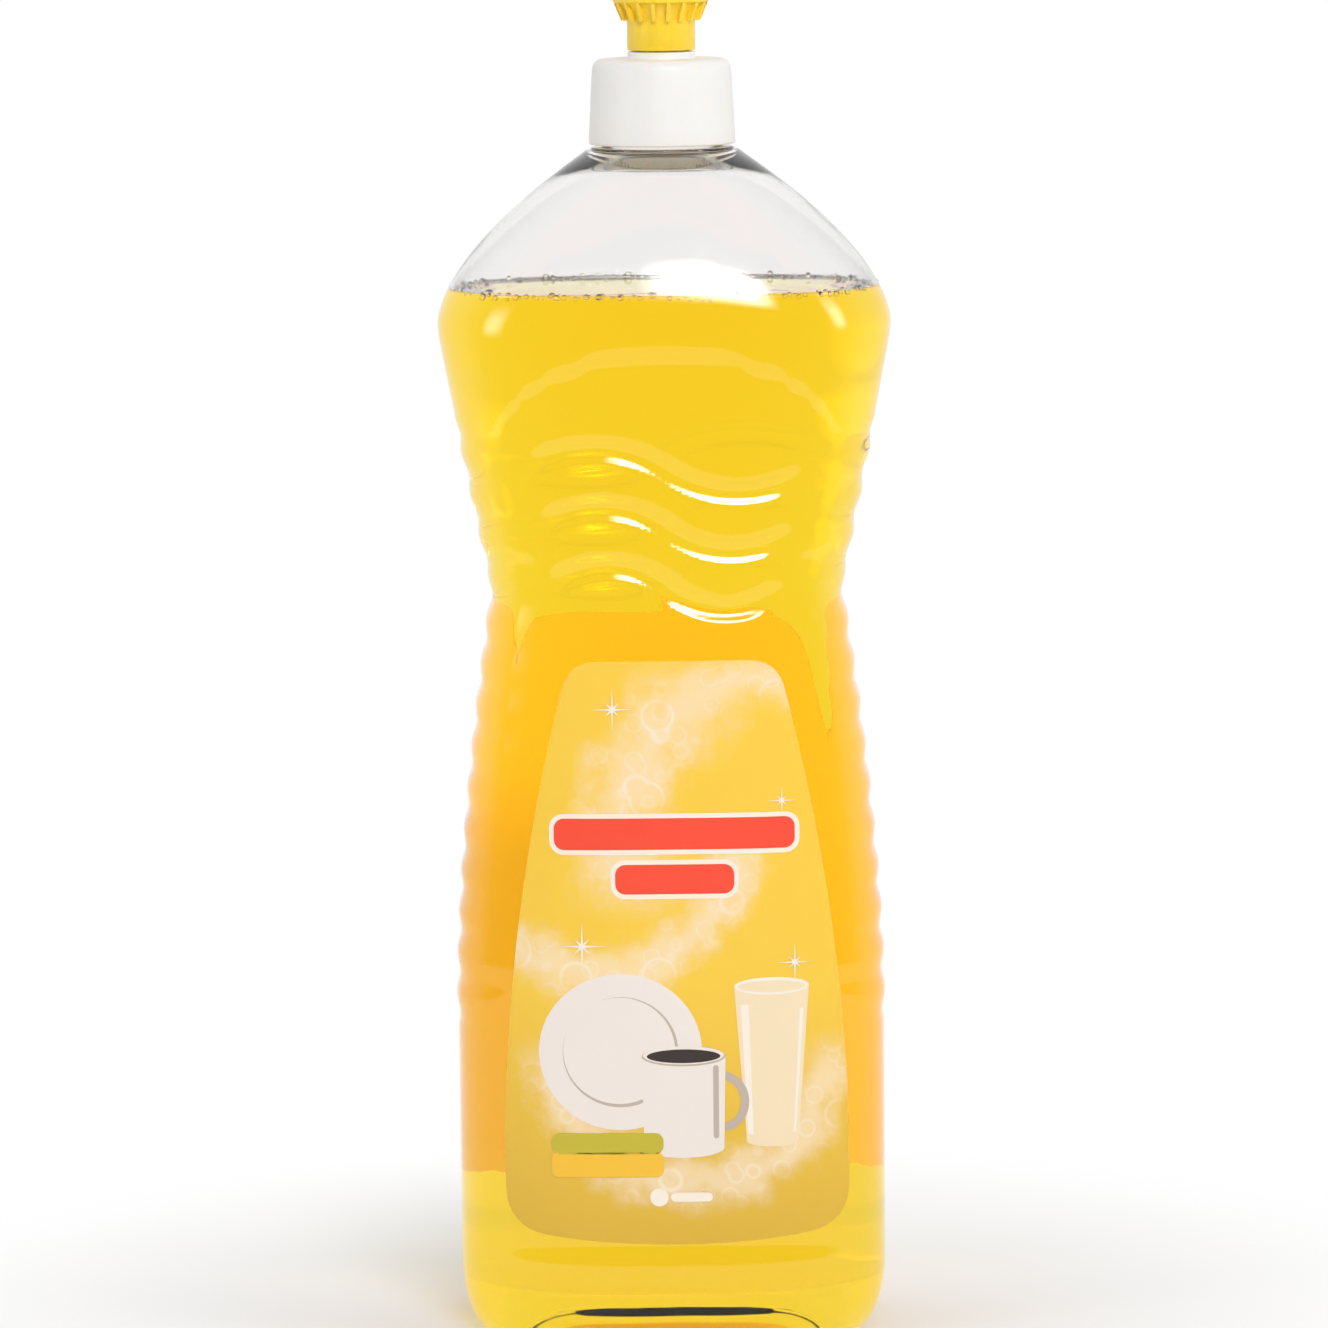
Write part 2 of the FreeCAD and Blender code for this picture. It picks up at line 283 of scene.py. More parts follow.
def spline_weights(count, samples):
    """How much of each of count control rows goes into each of the evenly placed samples."""
    spans = count - 3
    knots = np.concatenate([np.zeros(3), np.arange(spans + 1), np.full(3, spans)])
    t = np.linspace(0, spans - 1e-9, samples)[:, None]
    weights = ((t >= knots[:-1]) & (t < knots[1:])).astype(float)
    for degree in (1, 2, 3):
        n = weights.shape[1] - 1
        rise = np.maximum(knots[degree:degree + n] - knots[:n], 1e-12)
        fall = np.maximum(knots[degree + 1:degree + 1 + n] - knots[1:1 + n], 1e-12)
        up = (t - knots[:n]) / rise
        down = (knots[degree + 1:degree + 1 + n] - t) / fall
        weights = up * weights[:, :n] + down * weights[:, 1:n + 1]
    return weights


# %% [markdown]
# ## The S-shaped grooves
# Each groove's centre line is an arc that crests and an arc that dips, joined in the middle.
# A point of the panel sinks by how near it is to that line, with soft lips, because a
# mould's edge is never sharp and its round lips are what catches the light.

# %% How deep the grooves are at a point
def circle_through(start, crest, end):
    """Centre and radius of the circle through three points of the panel."""
    (ax, az), (bx, bz), (cx, cz) = start, crest, end
    d = 2 * (ax * (bz - cz) + bx * (cz - az) + cx * (az - bz))
    a2, b2, c2 = ax**2 + az**2, bx**2 + bz**2, cx**2 + cz**2
    x = (a2 * (bz - cz) + b2 * (cz - az) + c2 * (az - bz)) / d
    z = (a2 * (cx - bx) + b2 * (ax - cx) + c2 * (bx - ax)) / d
    return x, z, math.hypot(ax - x, az - z)


def wave_sink(x, z):
    """How far the panel's face is pressed in by the grooves, for x to the right of it."""
    sink = np.zeros_like(x)
    wave_reach, wave_lip = wave_band * 0.53, 1.15
    for i in range(wave_count):
        height = top_wave_height - i * wave_pitch
        length = top_wave_length - i * wave_shortening
        middle, lift = (0.0, height), wave_end_lift
        for side in (-1, 1):
            end = (side * length / 2, height - side * lift)
            crest = (side * length / 4, height - side * wave_crest)
            cx, cz, radius = circle_through(end, crest, middle)
            within = (x * side >= 0) & (x * side <= length / 2) & (np.abs(z - height) < radius)
            off_line = np.abs(np.hypot(x - cx, z - cz) - radius)
            off_end = np.hypot(x - end[0], z - end[1])
            off = np.where(within, off_line, off_end) / wave_reach
            off = np.where(x * side < -1e-9, 9.0, off)
            fade = ease((length / 2 + wave_band / 2 - x * side) / 0.008)
            here = wave_depth * fade * np.clip(1 - off**2, 0, 1) ** wave_lip
            sink = np.maximum(sink, here)
    return sink


def skin(inset, coarse=1):
    """The fine rings of the blown form, set in by inset, as rings by columns by three."""
    rows = body_rows(inset)
    samples = len(rows) * ring_samples // coarse
    rings = np.einsum("sr,rcx->scx", spline_weights(len(rows), samples), rows)
    x, y, z = rings[..., 0], rings[..., 1], rings[..., 2]
    facing = -np.sign(y)
    rings[..., 1] += facing * wave_sink(x * facing, z) * (z > heel_height)
    rings[..., 2] = np.maximum(z, 0)
    return rings


# %% [markdown]
# ## Ribs by geometry nodes
# The ribs repeat up the narrow sides, so they are one small node tree with named inputs.
# The net carries an attribute that says how squarely each point faces sideways. The tree
# pushes a point out along that side by a cosine of its height, so crest follows crest.
# Three skins pass through the same tree, which keeps the wall as thick as it was.

# %% A tree that ribs the sides
def node_tree(name, inputs):
    """An empty geometry tree with named float or integer inputs and one geometry out."""
    tree = bpy.data.node_groups.new(name, "GeometryNodeTree")
    tree.interface.new_socket("Geometry", in_out="INPUT", socket_type="NodeSocketGeometry")
    for label, kind, default in inputs:
        socket = tree.interface.new_socket(label, in_out="INPUT", socket_type=kind)
        if default is not None:
            socket.default_value = default
    tree.interface.new_socket("Geometry", in_out="OUTPUT", socket_type="NodeSocketGeometry")
    return tree, tree.nodes.new("NodeGroupInput"), tree.nodes.new("NodeGroupOutput")


def add(tree, kind, links=None, **settings):
    """Adds a node, sets its properties, and links or fills its inputs by name or index."""
    node = tree.nodes.new(kind)
    for key, value in settings.items():
        setattr(node, key, value)
    for key, value in (links or {}).items():
        if isinstance(value, bpy.types.NodeSocket):
            tree.links.new(value, node.inputs[key])
        else:
            node.inputs[key].default_value = value
    return node


def maths(tree, operation, *values):
    return add(tree, "ShaderNodeMath", dict(enumerate(values)), operation=operation).outputs[0]


def rib_tree():
    tree, given, result = node_tree("side_ribs", [
        ("Pitch", "NodeSocketFloat", rib_pitch),
        ("Depth", "NodeSocketFloat", rib_depth),
        ("First", "NodeSocketFloat", first_rib_height),
        ("Count", "NodeSocketInt", rib_count),
    ])
    side = add(tree, "GeometryNodeInputNamedAttribute", {"Name": "side"}).outputs[0]
    place = add(tree, "GeometryNodeInputPosition").outputs[0]
    height = add(tree, "ShaderNodeSeparateXYZ", {0: place}).outputs["Z"]
    up = maths(tree, "SUBTRACT", height, given.outputs["First"])
    steps = maths(tree, "DIVIDE", up, given.outputs["Pitch"])
    wave = maths(tree, "COSINE", maths(tree, "MULTIPLY", steps, 2 * math.pi))
    rise = add(tree, "ShaderNodeMapRange", {"Value": steps, "From Min": -1.0, "From Max": -0.5},
               interpolation_type="SMOOTHSTEP").outputs[0]
    left = maths(tree, "SUBTRACT", given.outputs["Count"], steps)
    fall = add(tree, "ShaderNodeMapRange", {"Value": left, "From Min": 0.0, "From Max": 0.5},
               interpolation_type="SMOOTHSTEP").outputs[0]
    half = maths(tree, "DIVIDE", given.outputs["Depth"], 2.0)
    swell = maths(tree, "MULTIPLY", maths(tree, "MULTIPLY", wave, half),
                  maths(tree, "MULTIPLY", rise, fall))
    push = add(tree, "ShaderNodeCombineXYZ", {"X": maths(tree, "MULTIPLY", swell, side)})
    moved = add(tree, "GeometryNodeSetPosition",
                {"Geometry": given.outputs["Geometry"], "Offset": push.outputs[0]})
    tree.links.new(moved.outputs[0], result.inputs[0])
    return tree


def through_tree(piece, tree, values=None):
    """Runs a piece's mesh through a geometry tree and keeps the result as a plain mesh."""
    modifier = piece.modifiers.new(tree.name, "NODES")
    modifier.node_group = tree
    for item in tree.interface.items_tree:
        if item.in_out == "INPUT" and values and item.name in values:
            modifier[item.identifier] = values[item.name]
    seen = piece.evaluated_get(bpy.context.evaluated_depsgraph_get())
    made = bpy.data.meshes.new_from_object(seen)
    piece.modifiers.clear()
    old = piece.data
    piece.data = made
    made.name = old.name
    bpy.data.meshes.remove(old)
    return piece

# %% [markdown]
# ## Materials
# Every finish is made of nodes on Object coordinates. Moulded plastic is never one flat
# colour: it clouds a little, its skin is faintly pebbled, and its gloss varies. Those three
# are one node group that the closure, the nozzle, the liner and the labels share.

# %% A shader group for moulded plastic
def skin_group():
    """Colour, roughness and normal of a moulded skin, from its own values."""
    tree = bpy.data.node_groups.new("moulded_skin", "ShaderNodeTree")
    for label, kind, default in (
        ("Color", "NodeSocketColor", (0.8, 0.8, 0.8, 1)),
        ("Cloud", "NodeSocketFloat", 0.04),
        ("Cloud Scale", "NodeSocketFloat", 60.0),
        ("Roughness", "NodeSocketFloat", 0.35),
        ("Pebble", "NodeSocketFloat", 0.05),
        ("Pebble Scale", "NodeSocketFloat", 2500.0),
    ):
        tree.interface.new_socket(label, in_out="INPUT", socket_type=kind).default_value = default
    for label, kind in (("Color", "Color"), ("Roughness", "Float"), ("Normal", "Vector")):
        tree.interface.new_socket(label, in_out="OUTPUT", socket_type="NodeSocket" + kind)
    given, result = tree.nodes.new("NodeGroupInput"), tree.nodes.new("NodeGroupOutput")
    place = add(tree, "ShaderNodeTexCoord").outputs["Object"]
    cloud = add(tree, "ShaderNodeTexNoise",
                {"Vector": place, "Scale": given.outputs["Cloud Scale"], "Detail": 4.0}).outputs[0]
    shift = maths(tree, "MULTIPLY", maths(tree, "SUBTRACT", cloud, 0.5), given.outputs["Cloud"])
    value = maths(tree, "ADD", shift, 1.0)
    tint = add(tree, "ShaderNodeHueSaturation", {"Color": given.outputs["Color"], "Value": value})
    tree.links.new(tint.outputs[0], result.inputs["Color"])
    gloss = maths(tree, "ADD", given.outputs["Roughness"], maths(tree, "MULTIPLY", shift, 2.0))
    tree.links.new(gloss, result.inputs["Roughness"])
    pebble = add(tree, "ShaderNodeTexNoise",
                 {"Vector": place, "Scale": given.outputs["Pebble Scale"], "Detail": 2.0})
    bump = add(tree, "ShaderNodeBump", {
        "Height": pebble.outputs[0], "Strength": given.outputs["Pebble"], "Distance": 0.0001})
    tree.links.new(bump.outputs[0], result.inputs["Normal"])
    return tree


moulded_skin = skin_group()


def empty_material(name):
    material = bpy.data.materials.new(name)
    material.use_nodes = True
    tree = material.node_tree
    return material, tree, tree.nodes["Principled BSDF"]


def moulded(name, color, roughness, cloud, pebble, pebble_scale, subsurface=0.0, **sockets):
    """A moulded plastic with its own colour, gloss and grain."""
    material, tree, shader = empty_material(name)
    group = add(tree, "ShaderNodeGroup", node_tree=moulded_skin)
    values = {"Color": (*color, 1), "Cloud": cloud, "Roughness": roughness,
              "Pebble": pebble, "Pebble Scale": pebble_scale}
    for key, value in values.items():
        group.inputs[key].default_value = value
    tree.links.new(group.outputs["Color"], shader.inputs["Base Color"])
    tree.links.new(group.outputs["Roughness"], shader.inputs["Roughness"])
    tree.links.new(group.outputs["Normal"], shader.inputs["Normal"])
    shader.inputs["Subsurface Weight"].default_value = subsurface
    shader.inputs["Subsurface Scale"].default_value = 0.002
    for key, value in sockets.items():
        shader.inputs[key].default_value = value
    return material


white_plastic = moulded("white_plastic", (0.83, 0.815, 0.795), 0.42, 0.03, 0.10, 2200, 0.15)
yellow_plastic = moulded("yellow_plastic", (0.96, 0.66, 0.035), 0.34, 0.05, 0.10, 2200, 0.15)
liner_foam = moulded("liner_foam", (0.82, 0.80, 0.76), 0.8, 0.06, 0.6, 5000)

# %% [markdown]
# ## Clear plastic and soap
# The wall is clear plastic with a faint ripple from blowing. The soap is clear too: its
# yellow comes from what it swallows on the way through, so it is set as absorption inside
# the volume. The soap's skin lies just inside the wall's, so light bends as it does in a
# full bottle, with no film of air between them.

# %% Clear wall and yellow soap
def let_light_through(tree, shader, color):
    """Lets lamps and daylight straight through a clear shader to what lies behind it."""
    path = add(tree, "ShaderNodeLightPath").outputs
    passing = maths(tree, "MAXIMUM", path["Is Shadow Ray"], path["Is Diffuse Ray"])
    clear = add(tree, "ShaderNodeBsdfTransparent", {"Color": (*color, 1)})
    both = add(tree, "ShaderNodeMixShader", {0: passing, 1: shader.outputs[0],
                                             2: clear.outputs[0]})
    tree.links.new(both.outputs[0], tree.nodes["Material Output"].inputs["Surface"])


def clear_plastic_material():
    material, tree, shader = empty_material("clear_plastic")
    place = add(tree, "ShaderNodeTexCoord").outputs["Object"]
    ripple = add(tree, "ShaderNodeTexNoise", {"Vector": place, "Scale": 70.0, "Detail": 1.5})
    bump = add(tree, "ShaderNodeBump",
               {"Height": ripple.outputs[0], "Strength": 0.12, "Distance": 0.0006})
    haze = add(tree, "ShaderNodeTexNoise", {"Vector": place, "Scale": 220.0, "Detail": 3.0})
    rough = add(tree, "ShaderNodeMapRange",
                {"Value": haze.outputs[0], "From Min": 0.3, "From Max": 0.7,
                 "To Min": 0.02, "To Max": 0.06})
    tree.links.new(bump.outputs[0], shader.inputs["Normal"])
    tree.links.new(rough.outputs[0], shader.inputs["Roughness"])
    shader.inputs["Base Color"].default_value = (0.985, 0.98, 0.975, 1)
    shader.inputs["IOR"].default_value = 1.57
    shader.inputs["Transmission Weight"].default_value = 1.0
    let_light_through(tree, shader, (0.97, 0.97, 0.97))
    return material


def wetted_plastic_material():
    """The inside of the wall below the soap line, where soap and plastic hardly mirror."""
    material, tree, shader = empty_material("wetted_plastic")
    tree.nodes.remove(shader)
    place = add(tree, "ShaderNodeTexCoord").outputs["Object"]
    haze = add(tree, "ShaderNodeTexNoise", {"Vector": place, "Scale": 220.0, "Detail": 3.0})
    rough = add(tree, "ShaderNodeMapRange", {"Value": haze.outputs[0], "To Max": 0.04})
    wetted = add(tree, "ShaderNodeBsdfRefraction",
                 {"Color": (1, 1, 1, 1), "Roughness": rough.outputs[0], "IOR": 1.57})
    let_light_through(tree, wetted, (1, 1, 1))
    return material


fill_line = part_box("liquid")[1].z - 0.0004


def soap_material():
    material, tree, shader = empty_material("yellow_soap")
    place = add(tree, "ShaderNodeTexCoord").outputs["Object"]
    swirl = add(tree, "ShaderNodeTexNoise", {"Vector": place, "Scale": 30.0, "Detail": 2.0})
    rough = add(tree, "ShaderNodeMapRange",
                {"Value": swirl.outputs[0], "To Min": 0.0, "To Max": 0.03})
    tree.links.new(rough.outputs[0], shader.inputs["Roughness"])
    shader.inputs["Base Color"].default_value = (1, 1, 1, 1)
    shader.inputs["IOR"].default_value = 1.36
    shader.inputs["Transmission Weight"].default_value = 1.0
    wetted = add(tree, "ShaderNodeBsdfRefraction",
                 {"Color": (1, 1, 1, 1), "Roughness": 0.02, "IOR": 1.36})
    height = add(tree, "ShaderNodeSeparateXYZ", {0: place}).outputs["Z"]
    at_top = maths(tree, "GREATER_THAN", height, fill_line - 0.00005)
    skin_mix = add(tree, "ShaderNodeMixShader", {0: at_top, 1: wetted.outputs[0],
                                                 2: shader.outputs[0]})
    let_light_through(tree, skin_mix, (1, 1, 1))
    soak = add(tree, "ShaderNodeVolumeAbsorption",
               {"Color": (0.998, 0.915, 0.02, 1), "Density": 85.0})
    tree.links.new(soak.outputs[0], tree.nodes["Material Output"].inputs["Volume"])
    return material


clear_plastic = clear_plastic_material()
wetted_plastic = wetted_plastic_material()
yellow_soap = soap_material()

# %% [markdown]
# ## The bottle
# The bottle is one moulding: the pushed-up base, the body, the neck and its lip, and the
# inside of the wall back down to the base. It is drawn as one net that runs up the outside,
# over the lip and down the inside, so the wall is a true closed shell.

# %% Bottle net
neck_radius = 0.01255
neck_bore_radius = 0.01085
lip_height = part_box("bottle")[1].z
support_ring_radius = 0.0154
support_ring_top = body_height + 0.0009
lip_round = 0.0004


def side_weight(rings):
    """How squarely each column faces sideways, from -1 at the left to 1 at the right."""
    c = np.cos(2 * np.pi * np.arange(columns) / columns)
    return np.tile(np.abs(c) ** 5 * c, rings)


def round_rings(profile):
    turns = 2 * np.pi * np.arange(columns) / columns
    return np.array([
        np.stack([r * np.cos(turns), r * np.sin(turns), np.full(columns, z)], axis=1)
        for r, z in profile
    ])


def with_side(mesh, sides):
    attribute = mesh.attributes.new("side", "FLOAT", "POINT")
    attribute.data.foreach_set("value", np.asarray(sides, np.float32))
    return mesh


ribs = rib_tree()
outer = skin(0.0)
inner = skin(wall, coarse=2)[::-1]
neck_profile = (
    [(support_ring_radius + 0.0006, body_height + 0.00005)]
    + arc(support_ring_radius - 0.0003, support_ring_top - 0.0006, 0.0003, -80, 90, 6)
    + [(neck_radius + 0.0006, support_ring_top - 0.0003)]
    + [(neck_radius + 0.0001, support_ring_top)]
    + [(neck_radius, z) for z in np.linspace(support_ring_top + 0.0006, lip_height - 0.001, 12)]
    + arc(neck_radius - lip_round, lip_height - lip_round, lip_round, 0, 90, 5)
    + arc(neck_bore_radius + lip_round, lip_height - lip_round, lip_round, 90, 180, 5)
    + [(neck_bore_radius, z) for z in np.linspace(lip_height - 0.001, body_height + 0.001, 8)]
    + arc(neck_bore_radius + 0.002, body_height + 0.0012, 0.002, 180, 250, 6)
)
neck = round_rings(neck_profile)
rings = np.concatenate([outer, neck, inner])
mesh = smooth_mesh("bottle_shell", rings.reshape(-1, 3), ring_faces(len(rings), columns))
sides = side_weight(len(rings)).reshape(len(rings), columns)
sides[len(outer):len(outer) + len(neck)] = 0
with_side(mesh, sides.ravel())
bottle = new_object("bottle_shell", mesh, "bottle",
                    [clear_plastic, wetted_plastic])
through_tree(bottle, ribs)
first_inner = (len(outer) + len(neck)) * columns
for k, face in enumerate(bottle.data.polygons):
    face.material_index = int(k >= first_inner and face.center.z < fill_line)
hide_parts("bottle")
print("bottle", len(bottle.data.polygons), "faces")

# %% [markdown]
# ## The soap
# The soap fills the same form up to the fill line. Its top is flat, and it climbs the wall
# by half a millimetre all round, as any liquid that wets its vessel does.

# %% Soap net
soap_overlap = 0.00005
fill_height = fill_line
climb = 0.0006
climb_width = 0.0016

full = skin(wall - soap_overlap, coarse=2)
below = full[: int(np.argmax(full[:, 0, 2] > fill_height + climb))]
above = full[len(below)]
share = (fill_height + climb - below[-1, 0, 2]) / (above[0, 2] - below[-1, 0, 2])
edge = below[-1] + (above - below[-1]) * share
top = []
for inward in (0.02, 0.05, 0.09, 0.15, 0.25, 0.45, 0.75):
    ring = edge * (1 - inward)
    drop = inward * float(np.abs(edge[:, 1]).max()) / climb_width
    ring[:, 2] = fill_height + climb * math.exp(-drop * 1.6)
    top.append(ring)
soap_rings = np.concatenate([below, edge[None], np.array(top)])
mesh = smooth_mesh("soap", soap_rings.reshape(-1, 3), ring_faces(len(soap_rings), columns))
sides = side_weight(len(soap_rings)).reshape(len(soap_rings), columns)
sides[len(below):] = 0
with_side(mesh, sides.ravel())
soap = new_object("soap", mesh, "bottle", yellow_soap)
through_tree(soap, ribs)
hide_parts("liquid")
print("soap", len(soap.data.polygons), "faces, surface at", round(fill_height, 4))

# %% [markdown]
# ## The screw closure
# A moulded cap is a turned form with a slight taper for getting it out of the mould, round
# edges everywhere, and a chimney in the middle. The profile runs up the outside, over the
# chimney and down the inside to the thread.

# %% Closure profile
closure_low, closure_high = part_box("screw_closure")
liner_low, liner_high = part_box("sealing_liner")
closure_bottom_radius = closure_high.x
closure_top_radius = 0.0149
closure_bore = neck_radius + 0.0014
closure_base = closure_low.z
closure_top = 0.2763
closure_corner = 0.0022
collar_radius_top = 0.00725
chimney_base = closure_top + 0.0015
chimney_radius = 0.0059
chimney_bore = 0.0048
chimney_top = chimney_base + 0.0086
rim_round = 0.0005
deck_low = liner_high.z

closure_profile = (
    arc(closure_bore + rim_round, closure_base + rim_round, rim_round, 180, 270, 5)
    + arc(closure_bottom_radius - rim_round, closure_base + rim_round, rim_round, 270, 360, 5)
    + [(mix(closure_bottom_radius, closure_top_radius, k), mix(closure_base, closure_top, k))
       for k in (0.2, 0.4, 0.6, 0.8)]
    + arc(closure_top_radius - closure_corner, closure_top - closure_corner,
          closure_corner, 3, 90, 10)
    + arc(collar_radius_top + 0.0004, closure_top + 0.0004, 0.0004, 270, 180, 5)
    + arc(collar_radius_top - 0.0003, chimney_base - 0.0003, 0.0003, 0, 90, 5)
    + [(chimney_radius, chimney_base + 0.00002), (chimney_radius, chimney_top - 0.0018)]
    + [(chimney_radius + 0.0002, chimney_top - 0.0013)]
    + [(chimney_radius + 0.0002, chimney_top - 0.0009)]
    + [(chimney_radius - 0.0002, chimney_top - 0.00005), (chimney_radius - 0.0004, chimney_top)]
    + [(chimney_bore + 0.0002, chimney_top), (chimney_bore, chimney_top - 0.0002)]
    + [(chimney_bore, deck_low + 0.0003), (chimney_bore + 0.0003, deck_low)]
    + [(closure_bore - 0.0004, deck_low), (closure_bore, deck_low - 0.0004)]
)
print("closure profile", len(closure_profile), "points")


def closed_lathe(name, profile, columns=160):
    """A turned ring of material: the profile's last ring joins its first."""
    turns = 2 * np.pi * np.arange(columns) / columns
    rings = [
        np.stack([r * np.cos(turns), r * np.sin(turns), np.full(columns, z)], axis=1)
        for r, z in profile
    ]
    faces = ring_faces(len(rings), columns, closed_ends=False)
    last, first = (len(rings) - 1) * columns, 0
    for i in range(columns):
        j = (i + 1) % columns
        faces.append((last + i, last + j, first + j, first + i))
    return smooth_mesh(name, np.concatenate(rings), faces)


closure = new_object("closure", closed_lathe("closure", closure_profile), "closure",
                     white_plastic)
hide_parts("screw_closure")

# %% [markdown]
# ## Pin and spokes
# Three spokes across the chimney carry the pin that plugs the nozzle's hole when the nozzle
# is pushed down. They are moulded with the closure.

# %% Pin and spokes
nozzle_low, nozzle_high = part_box("push_pull_nozzle")
pin_radius = 0.0017
pin_top = nozzle_high.z
spoke_count = 3
spoke_half = 0.0006
spoke_high = 0.004
pin_mesh = lathe("closure_pin", [(pin_radius, deck_low)]
                 + [(pin_radius, z) for z in np.linspace(deck_low + 0.001, pin_top - 0.0004, 6)]
                 + arc(pin_radius - 0.0004, pin_top - 0.0004, 0.0004, 15, 90, 5), 48)
pin = new_object("closure_pin", pin_mesh, "closure", white_plastic)


def block(bm, low, high, turn):
    """Adds a box between two corners, turned about Z."""
    made = bmesh.ops.create_cube(bm, size=1.0)["verts"]
    low, high = Vector(low), Vector(high)
    for v in made:
        place = Vector(low[i] + (v.co[i] + 0.5) * (high[i] - low[i]) for i in range(3))
        c, s = math.cos(turn), math.sin(turn)
        v.co = Vector((place.x * c - place.y * s, place.x * s + place.y * c, place.z))


bm = bmesh.new()
for i in range(spoke_count):
    block(bm, (pin_radius * 0.7, -spoke_half, deck_low + 0.0002),
          (chimney_bore + 0.0005, spoke_half, deck_low + spoke_high), 2 * math.pi * i / spoke_count)
bmesh.ops.bevel(bm, geom=bm.edges[:], offset=0.00015, segments=2, affect="EDGES")
mesh = bpy.data.meshes.new("closure_spokes")
bm.to_mesh(mesh)
bm.free()
spokes = new_object("closure_spokes", mesh, "closure", white_plastic)

# %% [markdown]
# ## The nozzle
# The nozzle slides on the chimney. Fingers pull it up by its flange, so the stem flares out
# into a wide rim, with a ring of small fins under it that stiffen the flare and give grip.

# %% Nozzle profile
nozzle_base = nozzle_low.z
nozzle_radius = 0.0073
flange_radius = nozzle_high.x
flare_base = nozzle_base + 0.0040
rim_base = flare_base + 0.0063
rim_top = rim_base + 0.0017
nozzle_top = nozzle_high.z
nozzle_bore = 0.0062
lock_radius = 0.0060
orifice_radius = 0.0018
ceiling = nozzle_top - 0.0019


def flare(share):
    """Radius and height along the concave flare, from the stem to the rim."""
    radius = mix(nozzle_radius, flange_radius - 0.0009, share**2.6)
    return radius, mix(flare_base, rim_base - 0.0002, share**0.8)


nozzle_profile = (
    [(orifice_radius, ceiling)]
    + [(nozzle_bore - 0.0005, ceiling), (nozzle_bore, ceiling - 0.0005)]
    + [(nozzle_bore, nozzle_base + 0.0018), (lock_radius, nozzle_base + 0.00135)]
    + [(lock_radius, nozzle_base + 0.0009), (nozzle_bore, nozzle_base + 0.00045)]
    + arc(nozzle_bore + 0.0003, nozzle_base + 0.0003, 0.0003, 180, 270, 4)
    + arc(nozzle_radius - 0.0003, nozzle_base + 0.0003, 0.0003, 270, 360, 4)
    + [flare(k) for k in np.linspace(0, 1, 18)]
    + arc(flange_radius - 0.0004, rim_base + 0.0004, 0.0004, 270, 360, 5)
    + arc(flange_radius - 0.0006, rim_top - 0.0006, 0.0006, 0, 80, 7)
    + [(mix(flange_radius - 0.0006, 0.0030, k), mix(rim_top, nozzle_top, ease(k)))
       for k in (0.15, 0.35, 0.55, 0.75, 0.9)]
    + [(0.0026, nozzle_top), (orifice_radius + 0.0002, nozzle_top)]
    + [(orifice_radius, nozzle_top - 0.0002)]
)
nozzle = new_object("nozzle", closed_lathe("nozzle", nozzle_profile), "nozzle",
                    yellow_plastic)
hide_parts("push_pull_nozzle")

# %% Lining disc
liner_outer = liner_high.x
liner_bore = 0.008
liner_round = 0.0002
liner_profile = (
    arc(liner_outer - liner_round, liner_low.z + liner_round, liner_round, 270, 360, 4)
    + arc(liner_outer - liner_round, liner_high.z - liner_round, liner_round, 0, 90, 4)
    + arc(liner_bore + liner_round, liner_high.z - liner_round, liner_round, 90, 180, 4)
    + arc(liner_bore + liner_round, liner_low.z + liner_round, liner_round, 180, 270, 4)
)
liner = new_object("liner_disc", closed_lathe("liner_disc", liner_profile), "liner",
                   liner_foam)
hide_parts("sealing_liner")

# %% [markdown]
# ## Fins and threads by geometry nodes
# Fins round the nozzle are the same small blade turned in equal steps, so one tree takes a
# blade and a count and turns copies about the axis. A screw thread is a helix with a small
# round section, so a second tree makes that from a radius, a pitch and a number of turns.

# %% A tree that turns copies about the axis
def turned_copies_tree(material):
    tree, given, result = node_tree("turned_copies", [("Count", "NodeSocketInt", 18)])
    line = add(tree, "GeometryNodeMeshLine", {"Count": given.outputs["Count"],
                                              "Offset": (0.0, 0.0, 0.0)})
    index = add(tree, "GeometryNodeInputIndex").outputs[0]
    turn = maths(tree, "DIVIDE", maths(tree, "MULTIPLY", index, 2 * math.pi),
                 given.outputs["Count"])
    angle = add(tree, "ShaderNodeCombineXYZ", {"Z": turn})
    copies = add(tree, "GeometryNodeInstanceOnPoints", {
        "Points": line.outputs[0], "Instance": given.outputs["Geometry"],
        "Rotation": angle.outputs[0]})
    real = add(tree, "GeometryNodeRealizeInstances", {0: copies.outputs[0]})
    done = add(tree, "GeometryNodeSetMaterial", {"Geometry": real.outputs[0],
                                                 "Material": material})
    tree.links.new(done.outputs[0], result.inputs[0])
    return tree


fin_count = 18
fin_half = 0.0004
fin_reach = flange_radius - 0.0004
fin_line = [flare(k) for k in np.linspace(0.35, 0.95, 7)]
blade = [(r - 0.0003, z + 0.0002) for r, z in fin_line] + [
    (fin_reach, rim_base + 0.0002), (fin_reach, rim_base - 0.0004),
    (nozzle_radius + 0.0012, fin_line[0][1] - 0.0003)]
points = [(r, side * fin_half, z) for side in (-1, 1) for r, z in blade]
size = len(blade)
faces = [tuple(range(size)), tuple(range(2 * size - 1, size - 1, -1))]
faces += [(i, i + size, (i + 1) % size + size, (i + 1) % size) for i in range(size)]
mesh = bpy.data.meshes.new("nozzle_fins")
mesh.from_pydata(points, [], faces)
bm = bmesh.new()
bm.from_mesh(mesh)
bmesh.ops.recalc_face_normals(bm, faces=bm.faces[:])
bm.to_mesh(mesh)
bm.free()
fins = new_object("nozzle_fins", mesh, "nozzle", yellow_plastic)
through_tree(fins, turned_copies_tree(yellow_plastic), {"Count": fin_count})
print("fins", len(fins.data.polygons), "faces")

